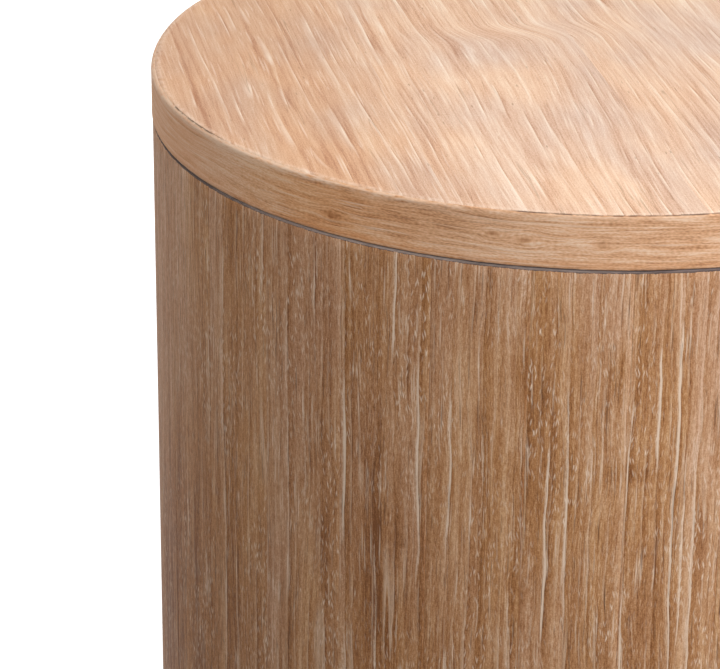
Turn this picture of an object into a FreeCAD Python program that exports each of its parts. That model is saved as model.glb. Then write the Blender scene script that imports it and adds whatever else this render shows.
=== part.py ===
# Round end table: a thick round top, a painted reveal and a coopered drum on four levelling feet.
# The drum's axis is Z, the floor is at z = 0, and the photograph looks along +Y from in front.
import FreeCAD, Part
import os
import Sketcher

# Driving dimensions: name, value, meaning. Lengths are in millimetres and angles in degrees.
SIZES = [
    ("table_diameter", 610, "across the top"),
    ("table_height", 610, "floor to the top face, feet screwed in"),
    ("floor_gap", 5, "floor to the drum's lower edge, feet screwed in"),
    ("face_veneer_thickness", 0.6, "veneer on the top face"),
    ("core_thickness", 18, "board under the face veneer"),
    ("build_up_thickness", 18, "ring under the board that thickens the rim"),
    ("balance_veneer_thickness", 0.6, "veneer under the board, inside the ring"),
    ("balance_veneer_gap", 0.2, "round the balance veneer"),
    ("edge_band_thickness", 3, "bent strips round the rim"),
    ("edge_band_count", 3, "strips round the rim"),
    ("first_band_angle", 178, "first joint between strips"),
    ("top_arris_radius", 2, "ease of the upper rim"),
    ("lower_arris_radius", 1.2, "ease of the lower rim"),
    ("leaf_count", 4, "leaves of face veneer"),
    ("grain_angle", -75, "direction of the face grain"),
    ("reveal_height", 2, "shadow groove between top and drum"),
    ("reveal_depth", 1.8, "set-back of the groove from the drum"),
    ("top_overhang", 0.5, "top beyond the drum"),
    ("stave_count", 30, "staves in the drum"),
    ("stave_thickness", 19, "at the middle of a stave"),
    ("first_joint_angle", 0.6, "first joint between staves"),
    ("stave_foot_chamfer", 1.5, "outer lower edge of a stave"),
    ("stave_head_chamfer", 0.6, "outer upper edge of a stave"),
    ("tongue_thickness", 4, "loose tongue, across the stave's thickness"),
    ("tongue_width", 12, "loose tongue, across the joint"),
    ("tongue_clearance", 0.1, "groove beyond the tongue"),
    ("tongue_setback", 3, "tongue's end to the stave's end"),
    ("former_thickness", 18, "plywood rings in the drum"),
    ("ring_width", 70, "from the staves to the rings' inner edge"),
    ("bottom_former_setback", 9, "drum's lower edge to the bottom former"),
    ("glue_block_leg_share", 0.4, "sides of a glue block, as a share of the ring's width"),
    ("glue_block_length_share", 0.8, "length of a glue block, as a share of a stave's flat back"),
    ("glue_block_nose", 4, "blunt tips of a glue block"),
    ("staves_per_block", 3, "one glue block to this many staves"),
    ("dowel_count", 3, "locating dowels under the top"),
    ("dowel_diameter", 10, "locating dowel"),
    ("dowel_length", 32, "locating dowel"),
    ("dowel_chamfer", 1, "ends of a dowel"),
    ("dowel_embed", 15, "dowel in the top former"),
    ("dowel_clearance", 0.1, "round a dowel"),
    ("dowel_spare", 1, "past a dowel's ends"),
    ("screw_count", 6, "screws that hold the top"),
    ("first_screw_angle", 30, "first screw"),
    ("screw_length", 45, "screw, head included"),
    ("screw_shank_radius", 2.5, "screw"),
    ("screw_head_radius", 5, "countersunk head"),
    ("screw_tip_length", 6, "pointed end"),
    ("screw_clearance", 0.1, "round a screw"),
    ("screw_spare", 1.5, "past a screw's point"),
    ("leveller_count", 4, "feet"),
    ("first_leveller_angle", 45, "first foot"),
    ("leveller_travel", 12, "how far a foot screws out"),
    ("stem_radius", 4, "threaded stem"),
    ("stem_chamfer", 0.8, "upper end of the stem"),
    ("stem_spare", 3, "stem above the insert, foot screwed out"),
    ("thread_clearance", 0.05, "stem to insert"),
    ("insert_wall", 1.3, "wall of the insert's barrel"),
    ("insert_flange_radius", 11, "flange under the former"),
    ("insert_flange_thickness", 1.5, "flange under the former"),
    ("insert_barrel_length", 11, "barrel above the flange"),
    ("insert_clearance", 0.1, "round the insert"),
    ("collar_across_flats", 13, "hexagon that a spanner turns"),
    ("collar_gap", 0.3, "collar to the insert, foot screwed in"),
    ("pad_radius", 19, "foot pad"),
    ("pad_height", 8, "foot pad"),
    ("pad_crown_chamfer", 2.5, "upper edge of the pad"),
    ("pad_foot_chamfer", 0.8, "lower edge of the pad"),
    ("stem_seat", 5, "stem inside the pad"),
    ("cut_overrun", 1, "cuts beyond the material"),
]

# Places worked out from the sizes: name, formula, meaning.
PLACES = [
    ("top_radius", "sizes.table_diameter / 2", "rim of the top"),
    ("top_thickness", "sizes.face_veneer_thickness + sizes.core_thickness + sizes.build_up_thickness", "rim"),
    ("top_underside", "sizes.table_height - top_thickness", "height of the top's underside"),
    ("core_underside", "top_underside + sizes.build_up_thickness", "height of the board's underside"),
    ("veneer_underside", "sizes.table_height - sizes.face_veneer_thickness", "height of the face veneer"),
    ("band_inner_radius", "top_radius - sizes.edge_band_thickness", "inside the edge band"),
    ("band_angle", "360 / sizes.edge_band_count", "turn from one band strip to the next"),
    ("arris_run", "sqrt(sizes.face_veneer_thickness * (2 * sizes.top_arris_radius"
                  " - sizes.face_veneer_thickness))", "from the start of the upper ease to the glue line"),
    ("glue_line_radius", "top_radius - sizes.top_arris_radius + arris_run", "where veneer meets edge band"),
    ("leaf_width", "(sizes.table_diameter + 2 * sizes.cut_overrun) / sizes.leaf_count", "leaf of the face"),
    ("drum_top", "top_underside - sizes.reveal_height", "height of the drum's upper end"),
    ("drum_height", "drum_top - sizes.floor_gap", "length of a stave"),
    ("drum_radius", "top_radius - sizes.top_overhang", "outside of the drum"),
    ("reveal_radius", "drum_radius - sizes.reveal_depth", "bottom of the groove"),
    ("half_angle", "180 / sizes.stave_count", "half a stave, seen from the axis"),
    ("flat_radius", "drum_radius - sizes.stave_thickness", "axis to the flat back of a stave"),
    ("corner_radius", "flat_radius / cos(half_angle)", "axis to the inner corner between staves"),
    ("flat_width", "2 * flat_radius * tan(half_angle)", "flat back of a stave"),
    ("joint_middle", "(drum_radius + corner_radius) / 2", "axis to the middle of a joint"),
    ("groove_half_width", "(sizes.tongue_thickness + sizes.tongue_clearance) / 2", "groove for a tongue"),
    ("groove_depth", "sizes.tongue_width / 2 + sizes.tongue_clearance", "groove for a tongue"),
    ("hollow_radius", "flat_radius - sizes.ring_width", "hole in every ring"),
    ("ring_middle", "flat_radius - sizes.ring_width / 2", "circle of screws, dowels and feet"),
    ("top_former_underside", "drum_top - sizes.former_thickness", "height of the top former"),
    ("bottom_former_underside", "sizes.floor_gap + sizes.bottom_former_setback", "its lower face"),
    ("bottom_former_top", "bottom_former_underside + sizes.former_thickness", "its upper face"),
    ("block_leg", "sizes.ring_width * sizes.glue_block_leg_share", "sides of a glue block"),
    ("block_length", "flat_width * sizes.glue_block_length_share", "glue block along the stave's back"),
    ("block_count", "sizes.stave_count / sizes.staves_per_block", "glue blocks at a former"),
    ("dowel_radius", "sizes.dowel_diameter / 2", "dowel"),
    ("dowel_rise", "sizes.dowel_length - sizes.dowel_embed", "dowel above the drum"),
    ("screw_head_height", "sizes.screw_head_radius - sizes.screw_shank_radius", "square countersink"),
    ("screw_above_reveal", "sizes.screw_length - sizes.former_thickness - sizes.reveal_height", "in the top"),
    ("barrel_radius", "sizes.stem_radius + sizes.thread_clearance + sizes.insert_wall", "insert"),
    ("collar_height", "bottom_former_underside - sizes.collar_gap - sizes.pad_height", "hexagon"),
    ("stem_foot", "sizes.pad_height - sizes.stem_seat", "lower end of the stem"),
    ("stem_reach", "sizes.insert_flange_thickness + sizes.insert_barrel_length + sizes.leveller_travel"
                   " + sizes.stem_spare", "stem above the former's underside"),
    ("stem_head", "bottom_former_underside + stem_reach", "upper end of the stem"),
]

# Two lengths closer than this are the same when an edge is looked for.
SAME_LENGTH = 0.001

document = FreeCAD.newDocument("round_end_table")


def fill_sheet(name, rows):
    """Make a sheet with one named value in each row."""
    sheet = document.addObject("Spreadsheet::Sheet", name)
    for row, (alias, content, meaning) in enumerate(rows, start=1):
        sheet.set(f"A{row}", alias)
        sheet.set(f"B{row}", content)
        sheet.set(f"C{row}", meaning)
        sheet.setAlias(f"B{row}", alias)
    return sheet


sizes = fill_sheet("sizes", [(alias, str(value), meaning) for alias, value, meaning in SIZES])
places = fill_sheet("places", [(alias, "=" + formula, meaning) for alias, formula, meaning in PLACES])
document.recompute()


def number(expression):
    """Give the present value of an expression on the two sheets."""
    return float(sizes.evalExpression(expression))


def bind(item, **expressions):
    """Bind properties of an object to expressions on the sheets."""
    for path, expression in expressions.items():
        item.setExpression(path.replace("__", "."), expression)


def polar(distance, angle):
    """Give the x and y expressions of a point at a distance and an angle from the axis."""
    return f"({distance}) * cos({angle})", f"({distance}) * sin({angle})"


def new_body(label):
    """Start a body with a name of its own."""
    body = document.addObject("PartDesign::Body", label)
    body.Label = label
    return body


def origin_item(body, role):
    """Find a plane or an axis of a body's own origin."""
    return next(item for item in body.Origin.OriginFeatures if item.Role == role)


def new_sketch(body, role, name):
    """Start a sketch on a plane of the body's origin."""
    sketch = body.newObject("Sketcher::SketchObject", name)
    sketch.AttachmentSupport = (origin_item(body, role), [""])
    sketch.MapMode = "FlatFace"
    return sketch


def constrain(sketch, expression, kind, *targets):
    """Add a dimension to a sketch and bind it to the sheets."""
    place = sketch.addConstraint(Sketcher.Constraint(kind, *targets, number(expression)))
    sketch.setExpression(f"Constraints[{place}]", expression)


def arc_between(start, end, radius, side):
    """Make the arc from start to end whose centre lies on the given side of that way."""
    chord = end - start
    left = FreeCAD.Vector(-chord.y, chord.x, 0).normalize()
    reach = (radius ** 2 - chord.Length ** 2 / 4) ** 0.5
    centre = (start + end) / 2 + left * (reach if side == "left" else -reach)
    first, last = (start, end) if side == "left" else (end, start)
    circle = Part.Circle(centre, FreeCAD.Vector(0, 0, 1), radius)
    return Part.ArcOfCircle(circle, circle.parameter(first), circle.parameter(last))


def draw_outline(sketch, corners, arcs=None):
    """Draw a closed outline through corners given as pairs of expressions, and bind every corner.

    arcs maps the number of an edge to its radius and to the side that its centre lies on.
    """
    arcs = arcs or {}
    base = sketch.GeometryCount
    count = len(corners)
    points = [FreeCAD.Vector(number(x), number(y), 0) for x, y in corners]
    starts = []
    for edge, point in enumerate(points):
        following = points[(edge + 1) % count]
        if edge in arcs:
            radius, side = arcs[edge]
            sketch.addGeometry(arc_between(point, following, number(radius), side), False)
            constrain(sketch, radius, "Radius", base + edge)
            starts.append(1 if side == "left" else 2)
        else:
            sketch.addGeometry(Part.LineSegment(point, following), False)
            starts.append(1)
    for edge, (x, y) in enumerate(corners):
        following = (edge + 1) % count
        sketch.addConstraint(
            Sketcher.Constraint(
                "Coincident", base + edge, 3 - starts[edge], base + following, starts[following]
            )
        )
        constrain(sketch, x, "DistanceX", -1, 1, base + edge, starts[edge])
        constrain(sketch, y, "DistanceY", -1, 1, base + edge, starts[edge])


def draw_circle(sketch, radius):
    """Draw a circle about the sketch's origin."""
    circle = Part.Circle(FreeCAD.Vector(0, 0, 0), FreeCAD.Vector(0, 0, 1), number(radius))
    place = sketch.addGeometry(circle, False)
    sketch.addConstraint(Sketcher.Constraint("Coincident", place, 3, -1, 1))
    constrain(sketch, radius, "Radius", place)


def pad(body, sketch, length, symmetric=False):
    """Pad a sketch, upwards or to both sides."""
    feature = body.newObject("PartDesign::Pad", sketch.Name + "_pad")
    feature.Profile = sketch
    feature.SideType = "Symmetric" if symmetric else "One side"
    bind(feature, Length=length)
    return feature


def revolve(body, sketch, angle="360"):
    """Turn a sketch about its upright axis."""
    feature = body.newObject("PartDesign::Revolution", sketch.Name + "_turned")
    feature.Profile = sketch
    feature.ReferenceAxis = (sketch, ["V_Axis"])
    bind(feature, Angle=angle)
    return feature


def primitive(body, kind, name, at, **expressions):
    """Add or take away a simple form that stands at a point given as three expressions."""
    feature = body.newObject("PartDesign::" + kind, name)
    x, y, z = at
    bind(feature, Placement__Base__x=x, Placement__Base__y=y, Placement__Base__z=z, **expressions)
    return feature


def repeat_round(body, features, count):
    """Repeat features evenly round the body's Z axis, and make that the body's result."""
    pattern = body.newObject("PartDesign::PolarPattern", body.Name + "_round_" + features[0].Name)
    pattern.Originals = features
    pattern.Axis = (origin_item(body, "Z_Axis"), [""])
    pattern.Angle = 360
    bind(pattern, Occurrences=count)
    body.Tip = pattern
    return pattern


def stand(item, height, angle="0", distance="0"):
    """Place a piece at a height, turned about the axis and moved out along that direction."""
    x, y = polar(distance, angle)
    bind(item, Placement__Base__x=x, Placement__Base__y=y, Placement__Base__z=height)
    bind(item, Placement__Rotation__Angle=angle)


def drill(body, name, radius, angle, start, depth, count):
    """Cut round holes on the circle of fixings, from a height upwards."""
    x, y = polar("places.ring_middle", angle)
    hole = primitive(body, "SubtractiveCylinder", name, (x, y, start), Radius=radius, Height=depth)
    repeat_round(body, [hole], count)


def drill_for_screws(body, start, depth):
    """Cut the holes that the top's screws pass through."""
    name = body.Name + "_screw_hole"
    radius = "sizes.screw_shank_radius + sizes.screw_clearance"
    drill(body, name, radius, "sizes.first_screw_angle", start, depth, "sizes.screw_count")


def drill_for_dowels(body, start, depth):
    """Cut the holes that the locating dowels sit in."""
    name = body.Name + "_dowel_hole"
    radius = "places.dowel_radius + sizes.dowel_clearance"
    drill(body, name, radius, "0", start, depth, "sizes.dowel_count")


def make_face_form():
    """Make the whole face of veneer with its eased rim, which the leaves are cut from."""
    body = new_body("face_form")
    profile = new_sketch(body, "XZ_Plane", "face_profile")
    corners = [
        ("0", "places.veneer_underside"),
        ("places.glue_line_radius", "places.veneer_underside"),
        ("places.top_radius - sizes.top_arris_radius", "sizes.table_height"),
        ("0", "sizes.table_height"),
    ]
    draw_outline(profile, corners, {1: ("sizes.top_arris_radius", "left")})
    revolve(body, profile)
    return body


def make_face_leaf(place, face_form):
    """Cut one leaf of face veneer, whose long sides follow the grain."""
    blank = document.addObject("Part::Box", f"face_leaf_blank_{place + 1}")
    along = "-(places.top_radius + sizes.cut_overrun)"
    across = f"({along} + {place} * places.leaf_width)"
    bind(
        blank,
        Length="sizes.table_diameter + 2 * sizes.cut_overrun",
        Width="places.leaf_width",
        Height="sizes.face_veneer_thickness",
        Placement__Base__x=f"{along} * cos(sizes.grain_angle) - {across} * sin(sizes.grain_angle)",
        Placement__Base__y=f"{along} * sin(sizes.grain_angle) + {across} * cos(sizes.grain_angle)",
        Placement__Base__z="places.veneer_underside",
        Placement__Rotation__Angle="sizes.grain_angle",
    )
    leaf = document.addObject("Part::Common", f"top_face_leaf_{place + 1}")
    leaf.Base = face_form
    leaf.Tool = blank
    return leaf


def make_edge_band(place):
    """Make one bent strip of the rim, eased above and below."""
    body = new_body(f"top_edge_band_{place + 1}")
    profile = new_sketch(body, "XZ_Plane", f"band_profile_{place + 1}")
    corners = [
        ("places.band_inner_radius", "0"),
        ("places.top_radius - sizes.lower_arris_radius", "0"),
        ("places.top_radius", "sizes.lower_arris_radius"),
        ("places.top_radius", "places.top_thickness - sizes.top_arris_radius"),
        ("places.glue_line_radius", "places.top_thickness - sizes.face_veneer_thickness"),
        ("places.band_inner_radius", "places.top_thickness - sizes.face_veneer_thickness"),
    ]
    eases = {1: ("sizes.lower_arris_radius", "left"), 3: ("sizes.top_arris_radius", "left")}
    draw_outline(profile, corners, eases)
    revolve(body, profile, "places.band_angle")
    stand(body, "places.top_underside", f"sizes.first_band_angle + {place} * places.band_angle")
    return body


def make_top_core():
    """Make the round board, with pilot holes for the screws' points."""
    body = new_body("top_core")
    outline = new_sketch(body, "XY_Plane", "core_outline")
    draw_circle(outline, "places.band_inner_radius")
    pad(body, outline, "sizes.core_thickness")
    point = "places.screw_above_reveal - sizes.build_up_thickness + sizes.screw_spare"
    drill_for_screws(body, "-sizes.cut_overrun", f"{point} + sizes.cut_overrun")
    stand(body, "places.core_underside")
    return body


def make_balance_veneer():
    """Make the disc of veneer under the board, inside the build-up ring."""
    body = new_body("top_balance_veneer")
    outline = new_sketch(body, "XY_Plane", "balance_outline")
    draw_circle(outline, "places.hollow_radius - sizes.balance_veneer_gap")
    pad(body, outline, "sizes.balance_veneer_thickness")
    stand(body, "places.core_underside - sizes.balance_veneer_thickness")
    return body


def make_ring(label, outer, thickness, height):
    """Make a flat round ring with the hollow's hole and the screws' holes."""
    body = new_body(label)
    outline = new_sketch(body, "XY_Plane", label + "_outline")
    draw_circle(outline, outer)
    draw_circle(outline, "places.hollow_radius")
    pad(body, outline, thickness)
    drill_for_screws(body, "-sizes.cut_overrun", f"{thickness} + 2 * sizes.cut_overrun")
    stand(body, height)
    return body


def make_build_up_ring():
    """Make the ring that thickens the rim, with blind holes for the dowels."""
    body = make_ring(
        "top_build_up_ring", "places.band_inner_radius", "sizes.build_up_thickness", "places.top_underside"
    )
    depth = "places.dowel_rise - sizes.reveal_height + sizes.dowel_spare"
    drill_for_dowels(body, "-sizes.cut_overrun", f"{depth} + sizes.cut_overrun")
    return body


def make_reveal_ring():
    """Make the painted spacer between top and drum."""
    body = make_ring("reveal_ring", "places.reveal_radius", "sizes.reveal_height", "places.drum_top")
    drill_for_dowels(body, "-sizes.cut_overrun", "sizes.reveal_height + 2 * sizes.cut_overrun")
    return body


def make_former(label, height):
    """Make a plywood ring with one flat for each stave."""
    body = new_body(label)
    blank = primitive(
        body,
        "AdditivePrism",
        label + "_blank",
        ("0", "0", "0"),
        Polygon="sizes.stave_count",
        Circumradius="places.corner_radius",
        Height="sizes.former_thickness",
    )
    bind(blank, Placement__Rotation__Angle="sizes.first_joint_angle")
    primitive(
        body,
        "SubtractiveCylinder",
        label + "_hollow",
        ("0", "0", "-sizes.cut_overrun"),
        Radius="places.hollow_radius",
        Height="sizes.former_thickness + 2 * sizes.cut_overrun",
    )
    stand(body, height)
    return body


def make_top_former():
    """Make the upper former, with countersunk holes below and dowel holes above."""
    body = make_former("top_former", "places.top_former_underside")
    drill_for_screws(body, "-sizes.cut_overrun", "sizes.former_thickness + 2 * sizes.cut_overrun")
    x, y = polar("places.ring_middle", "sizes.first_screw_angle")
    countersink = primitive(
        body,
        "SubtractiveCone",
        "countersink",
        (x, y, "0"),
        Radius1="sizes.screw_head_radius + sizes.screw_clearance",
        Radius2="sizes.screw_shank_radius + sizes.screw_clearance",
        Height="places.screw_head_height",
    )
    repeat_round(body, [countersink], "sizes.screw_count")
    depth = "sizes.dowel_embed + sizes.dowel_spare"
    drill_for_dowels(body, f"sizes.former_thickness - ({depth})", f"{depth} + sizes.cut_overrun")
    return body


def make_bottom_former():
    """Make the lower former, with seats for the flanged inserts."""
    body = make_former("bottom_former", "places.bottom_former_underside")
    drill(
        body,
        "insert_hole",
        "places.barrel_radius + sizes.insert_clearance",
        "sizes.first_leveller_angle",
        "-sizes.cut_overrun",
        "sizes.former_thickness + 2 * sizes.cut_overrun",
        "sizes.leveller_count",
    )
    drill(
        body,
        "flange_seat",
        "sizes.insert_flange_radius + sizes.insert_clearance",
        "sizes.first_leveller_angle",
        "-sizes.cut_overrun",
        "sizes.insert_flange_thickness + sizes.cut_overrun",
        "sizes.leveller_count",
    )
    return body


def edges_at(shape, radius, height):
    """Name the arcs of a radius that lie at a height."""
    names = []
    for place, edge in enumerate(shape.Edges, start=1):
        is_round = isinstance(edge.Curve, Part.Circle) and abs(edge.Curve.Radius - radius) < SAME_LENGTH
        if is_round and abs(edge.CenterOfMass.z - height) < SAME_LENGTH:
            names.append(f"Edge{place}")
    return names


def chamfer_arc(body, base, name, height, size):
    """Chamfer the outer arc of a stave at one of its ends."""
    document.recompute()
    feature = body.newObject("PartDesign::Chamfer", name)
    feature.Base = (base, edges_at(base.Shape, number("places.drum_radius"), number(height)))
    bind(feature, Size=size)
    return feature


def groove_corner(out, deep, side):
    """Give a groove's corner, from its places along the joint and into the stave, on one side of it."""
    x = f"({out}) * cos(places.half_angle) + ({deep}) * sin(places.half_angle)"
    y = f"{side} * (({out}) * sin(places.half_angle) - ({deep}) * cos(places.half_angle))"
    return x, y


def make_stave(place):
    """Make one stave: turned face, flat back, bevelled and grooved sides, eased ends."""
    number_in_drum = f"{place + 1:02d}"
    body = new_body(f"stave_{number_in_drum}")
    section = new_sketch(body, "XY_Plane", f"stave_section_{number_in_drum}")
    outer_x, outer_y = polar("places.drum_radius", "places.half_angle")
    corners = [
        ("places.flat_radius", "-places.flat_width / 2"),
        (outer_x, f"-{outer_y}"),
        (outer_x, outer_y),
        ("places.flat_radius", "places.flat_width / 2"),
    ]
    draw_outline(section, corners, {1: ("places.drum_radius", "left")})
    blank = pad(body, section, "places.drum_height")
    foot = chamfer_arc(body, blank, f"stave_foot_{number_in_drum}", "0", "sizes.stave_foot_chamfer")
    chamfer_arc(body, foot, f"stave_head_{number_in_drum}", "places.drum_height", "sizes.stave_head_chamfer")
    grooves = new_sketch(body, "XY_Plane", f"stave_grooves_{number_in_drum}")
    near = "places.joint_middle - places.groove_half_width"
    far = "places.joint_middle + places.groove_half_width"
    for side in ("1", "-1"):
        ends = [(near, "-sizes.cut_overrun"), (far, "-sizes.cut_overrun")]
        ends += [(far, "places.groove_depth"), (near, "places.groove_depth")]
        draw_outline(grooves, [groove_corner(out, deep, side) for out, deep in ends])
    cut = body.newObject("PartDesign::Pocket", f"stave_groove_cut_{number_in_drum}")
    cut.Profile = grooves
    cut.Reversed = True
    bind(cut, Length="places.drum_height")
    stand(body, "sizes.floor_gap", f"sizes.first_joint_angle + {2 * place + 1} * places.half_angle")
    return body


def make_tongues():
    """Make the loose tongues that join the staves."""
    body = new_body("stave_tongues")
    x = "places.joint_middle - sizes.tongue_thickness / 2"
    tongue = primitive(
        body,
        "AdditiveBox",
        "tongue",
        (x, "-sizes.tongue_width / 2", "sizes.tongue_setback"),
        Length="sizes.tongue_thickness",
        Width="sizes.tongue_width",
        Height="places.drum_height - 2 * sizes.tongue_setback",
    )
    repeat_round(body, [tongue], "sizes.stave_count")
    stand(body, "sizes.floor_gap", "sizes.first_joint_angle")
    return body


def make_glue_blocks(label, height, upwards):
    """Make the corner blocks between the staves' flat backs and a former."""
    body = new_body(label)
    section = new_sketch(body, "XZ_Plane", label + "_section")
    sign = "" if upwards else "-"
    wall = "places.flat_radius"
    corners = [
        (wall, "0"),
        (wall, f"{sign}places.block_leg"),
        (f"{wall} - sizes.glue_block_nose", f"{sign}places.block_leg"),
        (f"{wall} - places.block_leg", f"{sign}sizes.glue_block_nose"),
        (f"{wall} - places.block_leg", "0"),
    ]
    draw_outline(section, corners)
    block = pad(body, section, "places.block_length", symmetric=True)
    repeat_round(body, [block], "places.block_count")
    stand(body, height, "sizes.first_joint_angle + places.half_angle")
    return body


def make_dowels():
    """Make the dowels that centre the top on the drum, each with chamfered ends."""
    body = new_body("top_dowels")
    x = "places.ring_middle"
    slim = "places.dowel_radius - sizes.dowel_chamfer"
    lower = primitive(
        body, "AdditiveCone", "dowel_foot", (x, "0", "0"),
        Radius1=slim, Radius2="places.dowel_radius", Height="sizes.dowel_chamfer",
    )
    middle = primitive(
        body, "AdditiveCylinder", "dowel", (x, "0", "sizes.dowel_chamfer"),
        Radius="places.dowel_radius", Height="sizes.dowel_length - 2 * sizes.dowel_chamfer",
    )
    upper = primitive(
        body, "AdditiveCone", "dowel_head", (x, "0", "sizes.dowel_length - sizes.dowel_chamfer"),
        Radius1="places.dowel_radius", Radius2=slim, Height="sizes.dowel_chamfer",
    )
    repeat_round(body, [lower, middle, upper], "sizes.dowel_count")
    stand(body, "places.drum_top - sizes.dowel_embed")
    return body


def make_screws():
    """Make the countersunk screws that hold the top, each with a head, a shank and a point."""
    body = new_body("top_screws")
    x = "places.ring_middle"
    head = primitive(
        body, "AdditiveCone", "screw_head", (x, "0", "0"),
        Radius1="sizes.screw_head_radius", Radius2="sizes.screw_shank_radius",
        Height="places.screw_head_height",
    )
    shank = primitive(
        body, "AdditiveCylinder", "screw_shank", (x, "0", "places.screw_head_height"),
        Radius="sizes.screw_shank_radius",
        Height="sizes.screw_length - places.screw_head_height - sizes.screw_tip_length",
    )
    point = primitive(
        body, "AdditiveCone", "screw_point", (x, "0", "sizes.screw_length - sizes.screw_tip_length"),
        Radius1="sizes.screw_shank_radius", Radius2="0", Height="sizes.screw_tip_length",
    )
    repeat_round(body, [head, shank, point], "sizes.screw_count")
    stand(body, "places.top_former_underside", "sizes.first_screw_angle")
    return body


def make_inserts():
    """Make the flanged inserts that the feet screw into."""
    body = new_body("leveller_inserts")
    x = "places.ring_middle"
    flange = primitive(
        body, "AdditiveCylinder", "insert_flange", (x, "0", "0"),
        Radius="sizes.insert_flange_radius", Height="sizes.insert_flange_thickness",
    )
    barrel = primitive(
        body, "AdditiveCylinder", "insert_barrel", (x, "0", "0"),
        Radius="places.barrel_radius", Height="sizes.insert_flange_thickness + sizes.insert_barrel_length",
    )
    bore = primitive(
        body, "SubtractiveCylinder", "insert_bore", (x, "0", "-sizes.cut_overrun"),
        Radius="sizes.stem_radius + sizes.thread_clearance",
        Height="sizes.insert_flange_thickness + sizes.insert_barrel_length + 2 * sizes.cut_overrun",
    )
    repeat_round(body, [flange, barrel, bore], "sizes.leveller_count")
    stand(body, "places.bottom_former_underside", "sizes.first_leveller_angle")
    return body


def leveller_angle(place):
    """Give the direction of one foot from the axis."""
    return f"sizes.first_leveller_angle + {place} * 360 / sizes.leveller_count"


def make_leveller_stem(place):
    """Make one threaded stem with the hexagon that a spanner turns."""
    body = new_body(f"leveller_stem_{place + 1}")
    profile = new_sketch(body, "XZ_Plane", f"stem_profile_{place + 1}")
    corners = [
        ("0", "places.stem_foot"),
        ("sizes.stem_radius", "places.stem_foot"),
        ("sizes.stem_radius", "places.stem_head - sizes.stem_chamfer"),
        ("sizes.stem_radius - sizes.stem_chamfer", "places.stem_head"),
        ("0", "places.stem_head"),
    ]
    draw_outline(profile, corners)
    revolve(body, profile)
    primitive(
        body,
        "AdditivePrism",
        f"stem_collar_{place + 1}",
        ("0", "0", "sizes.pad_height"),
        Polygon="6",
        Circumradius="sizes.collar_across_flats / 2 / cos(180 / 6)",
        Height="places.collar_height",
    )
    stand(body, "0", leveller_angle(place), "places.ring_middle")
    return body


def make_leveller_pad(place):
    """Make one foot pad, chamfered above and below, with the socket that holds the stem."""
    body = new_body(f"leveller_pad_{place + 1}")
    profile = new_sketch(body, "XZ_Plane", f"pad_profile_{place + 1}")
    socket = "sizes.stem_radius + sizes.thread_clearance"
    corners = [
        ("0", "0"),
        ("sizes.pad_radius - sizes.pad_foot_chamfer", "0"),
        ("sizes.pad_radius", "sizes.pad_foot_chamfer"),
        ("sizes.pad_radius", "sizes.pad_height - sizes.pad_crown_chamfer"),
        ("sizes.pad_radius - sizes.pad_crown_chamfer", "sizes.pad_height"),
        (socket, "sizes.pad_height"),
        (socket, "places.stem_foot"),
        ("0", "places.stem_foot"),
    ]
    draw_outline(profile, corners)
    revolve(body, profile)
    stand(body, "0", leveller_angle(place), "places.ring_middle")
    return body


def make_table():
    """Make every piece of the table, from the top down."""
    face_form = make_face_form()
    pieces = [make_face_leaf(place, face_form) for place in range(int(number("sizes.leaf_count")))]
    pieces += [make_edge_band(place) for place in range(int(number("sizes.edge_band_count")))]
    pieces += [make_top_core(), make_build_up_ring(), make_balance_veneer(), make_reveal_ring()]
    pieces += [make_stave(place) for place in range(int(number("sizes.stave_count")))]
    pieces += [make_tongues(), make_top_former(), make_bottom_former()]
    pieces.append(make_glue_blocks("upper_glue_blocks", "places.top_former_underside", upwards=False))
    pieces.append(make_glue_blocks("lower_glue_blocks", "places.bottom_former_top", upwards=True))
    pieces += [make_dowels(), make_screws(), make_inserts()]
    for place in range(int(number("sizes.leveller_count"))):
        pieces += [make_leveller_stem(place), make_leveller_pad(place)]
    return pieces


def check(pieces):
    """Stop if any object failed to build or any piece has no sound solid."""
    for item in document.Objects:
        if "Invalid" in item.State or "Error" in item.State:
            raise RuntimeError(f"{item.Label} did not build: {item.State}")
    for piece in pieces:
        if piece.Shape.isNull() or not piece.Shape.isValid() or not piece.Shape.Solids:
            raise RuntimeError(f"{piece.Label} has no sound solid")


pieces = make_table()
document.recompute()
check(pieces)
os.makedirs("parts", exist_ok=True)
for piece in pieces:
    piece.Shape.exportStep(f"parts/{piece.Label}.step")
    print(piece.Label, len(piece.Shape.Solids), round(piece.Shape.Volume))
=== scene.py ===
"""Looks of the round end table, in the frame of its CAD model."""

import math
import random

import bmesh
import bpy
from mathutils import Matrix, Vector, noise


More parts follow.
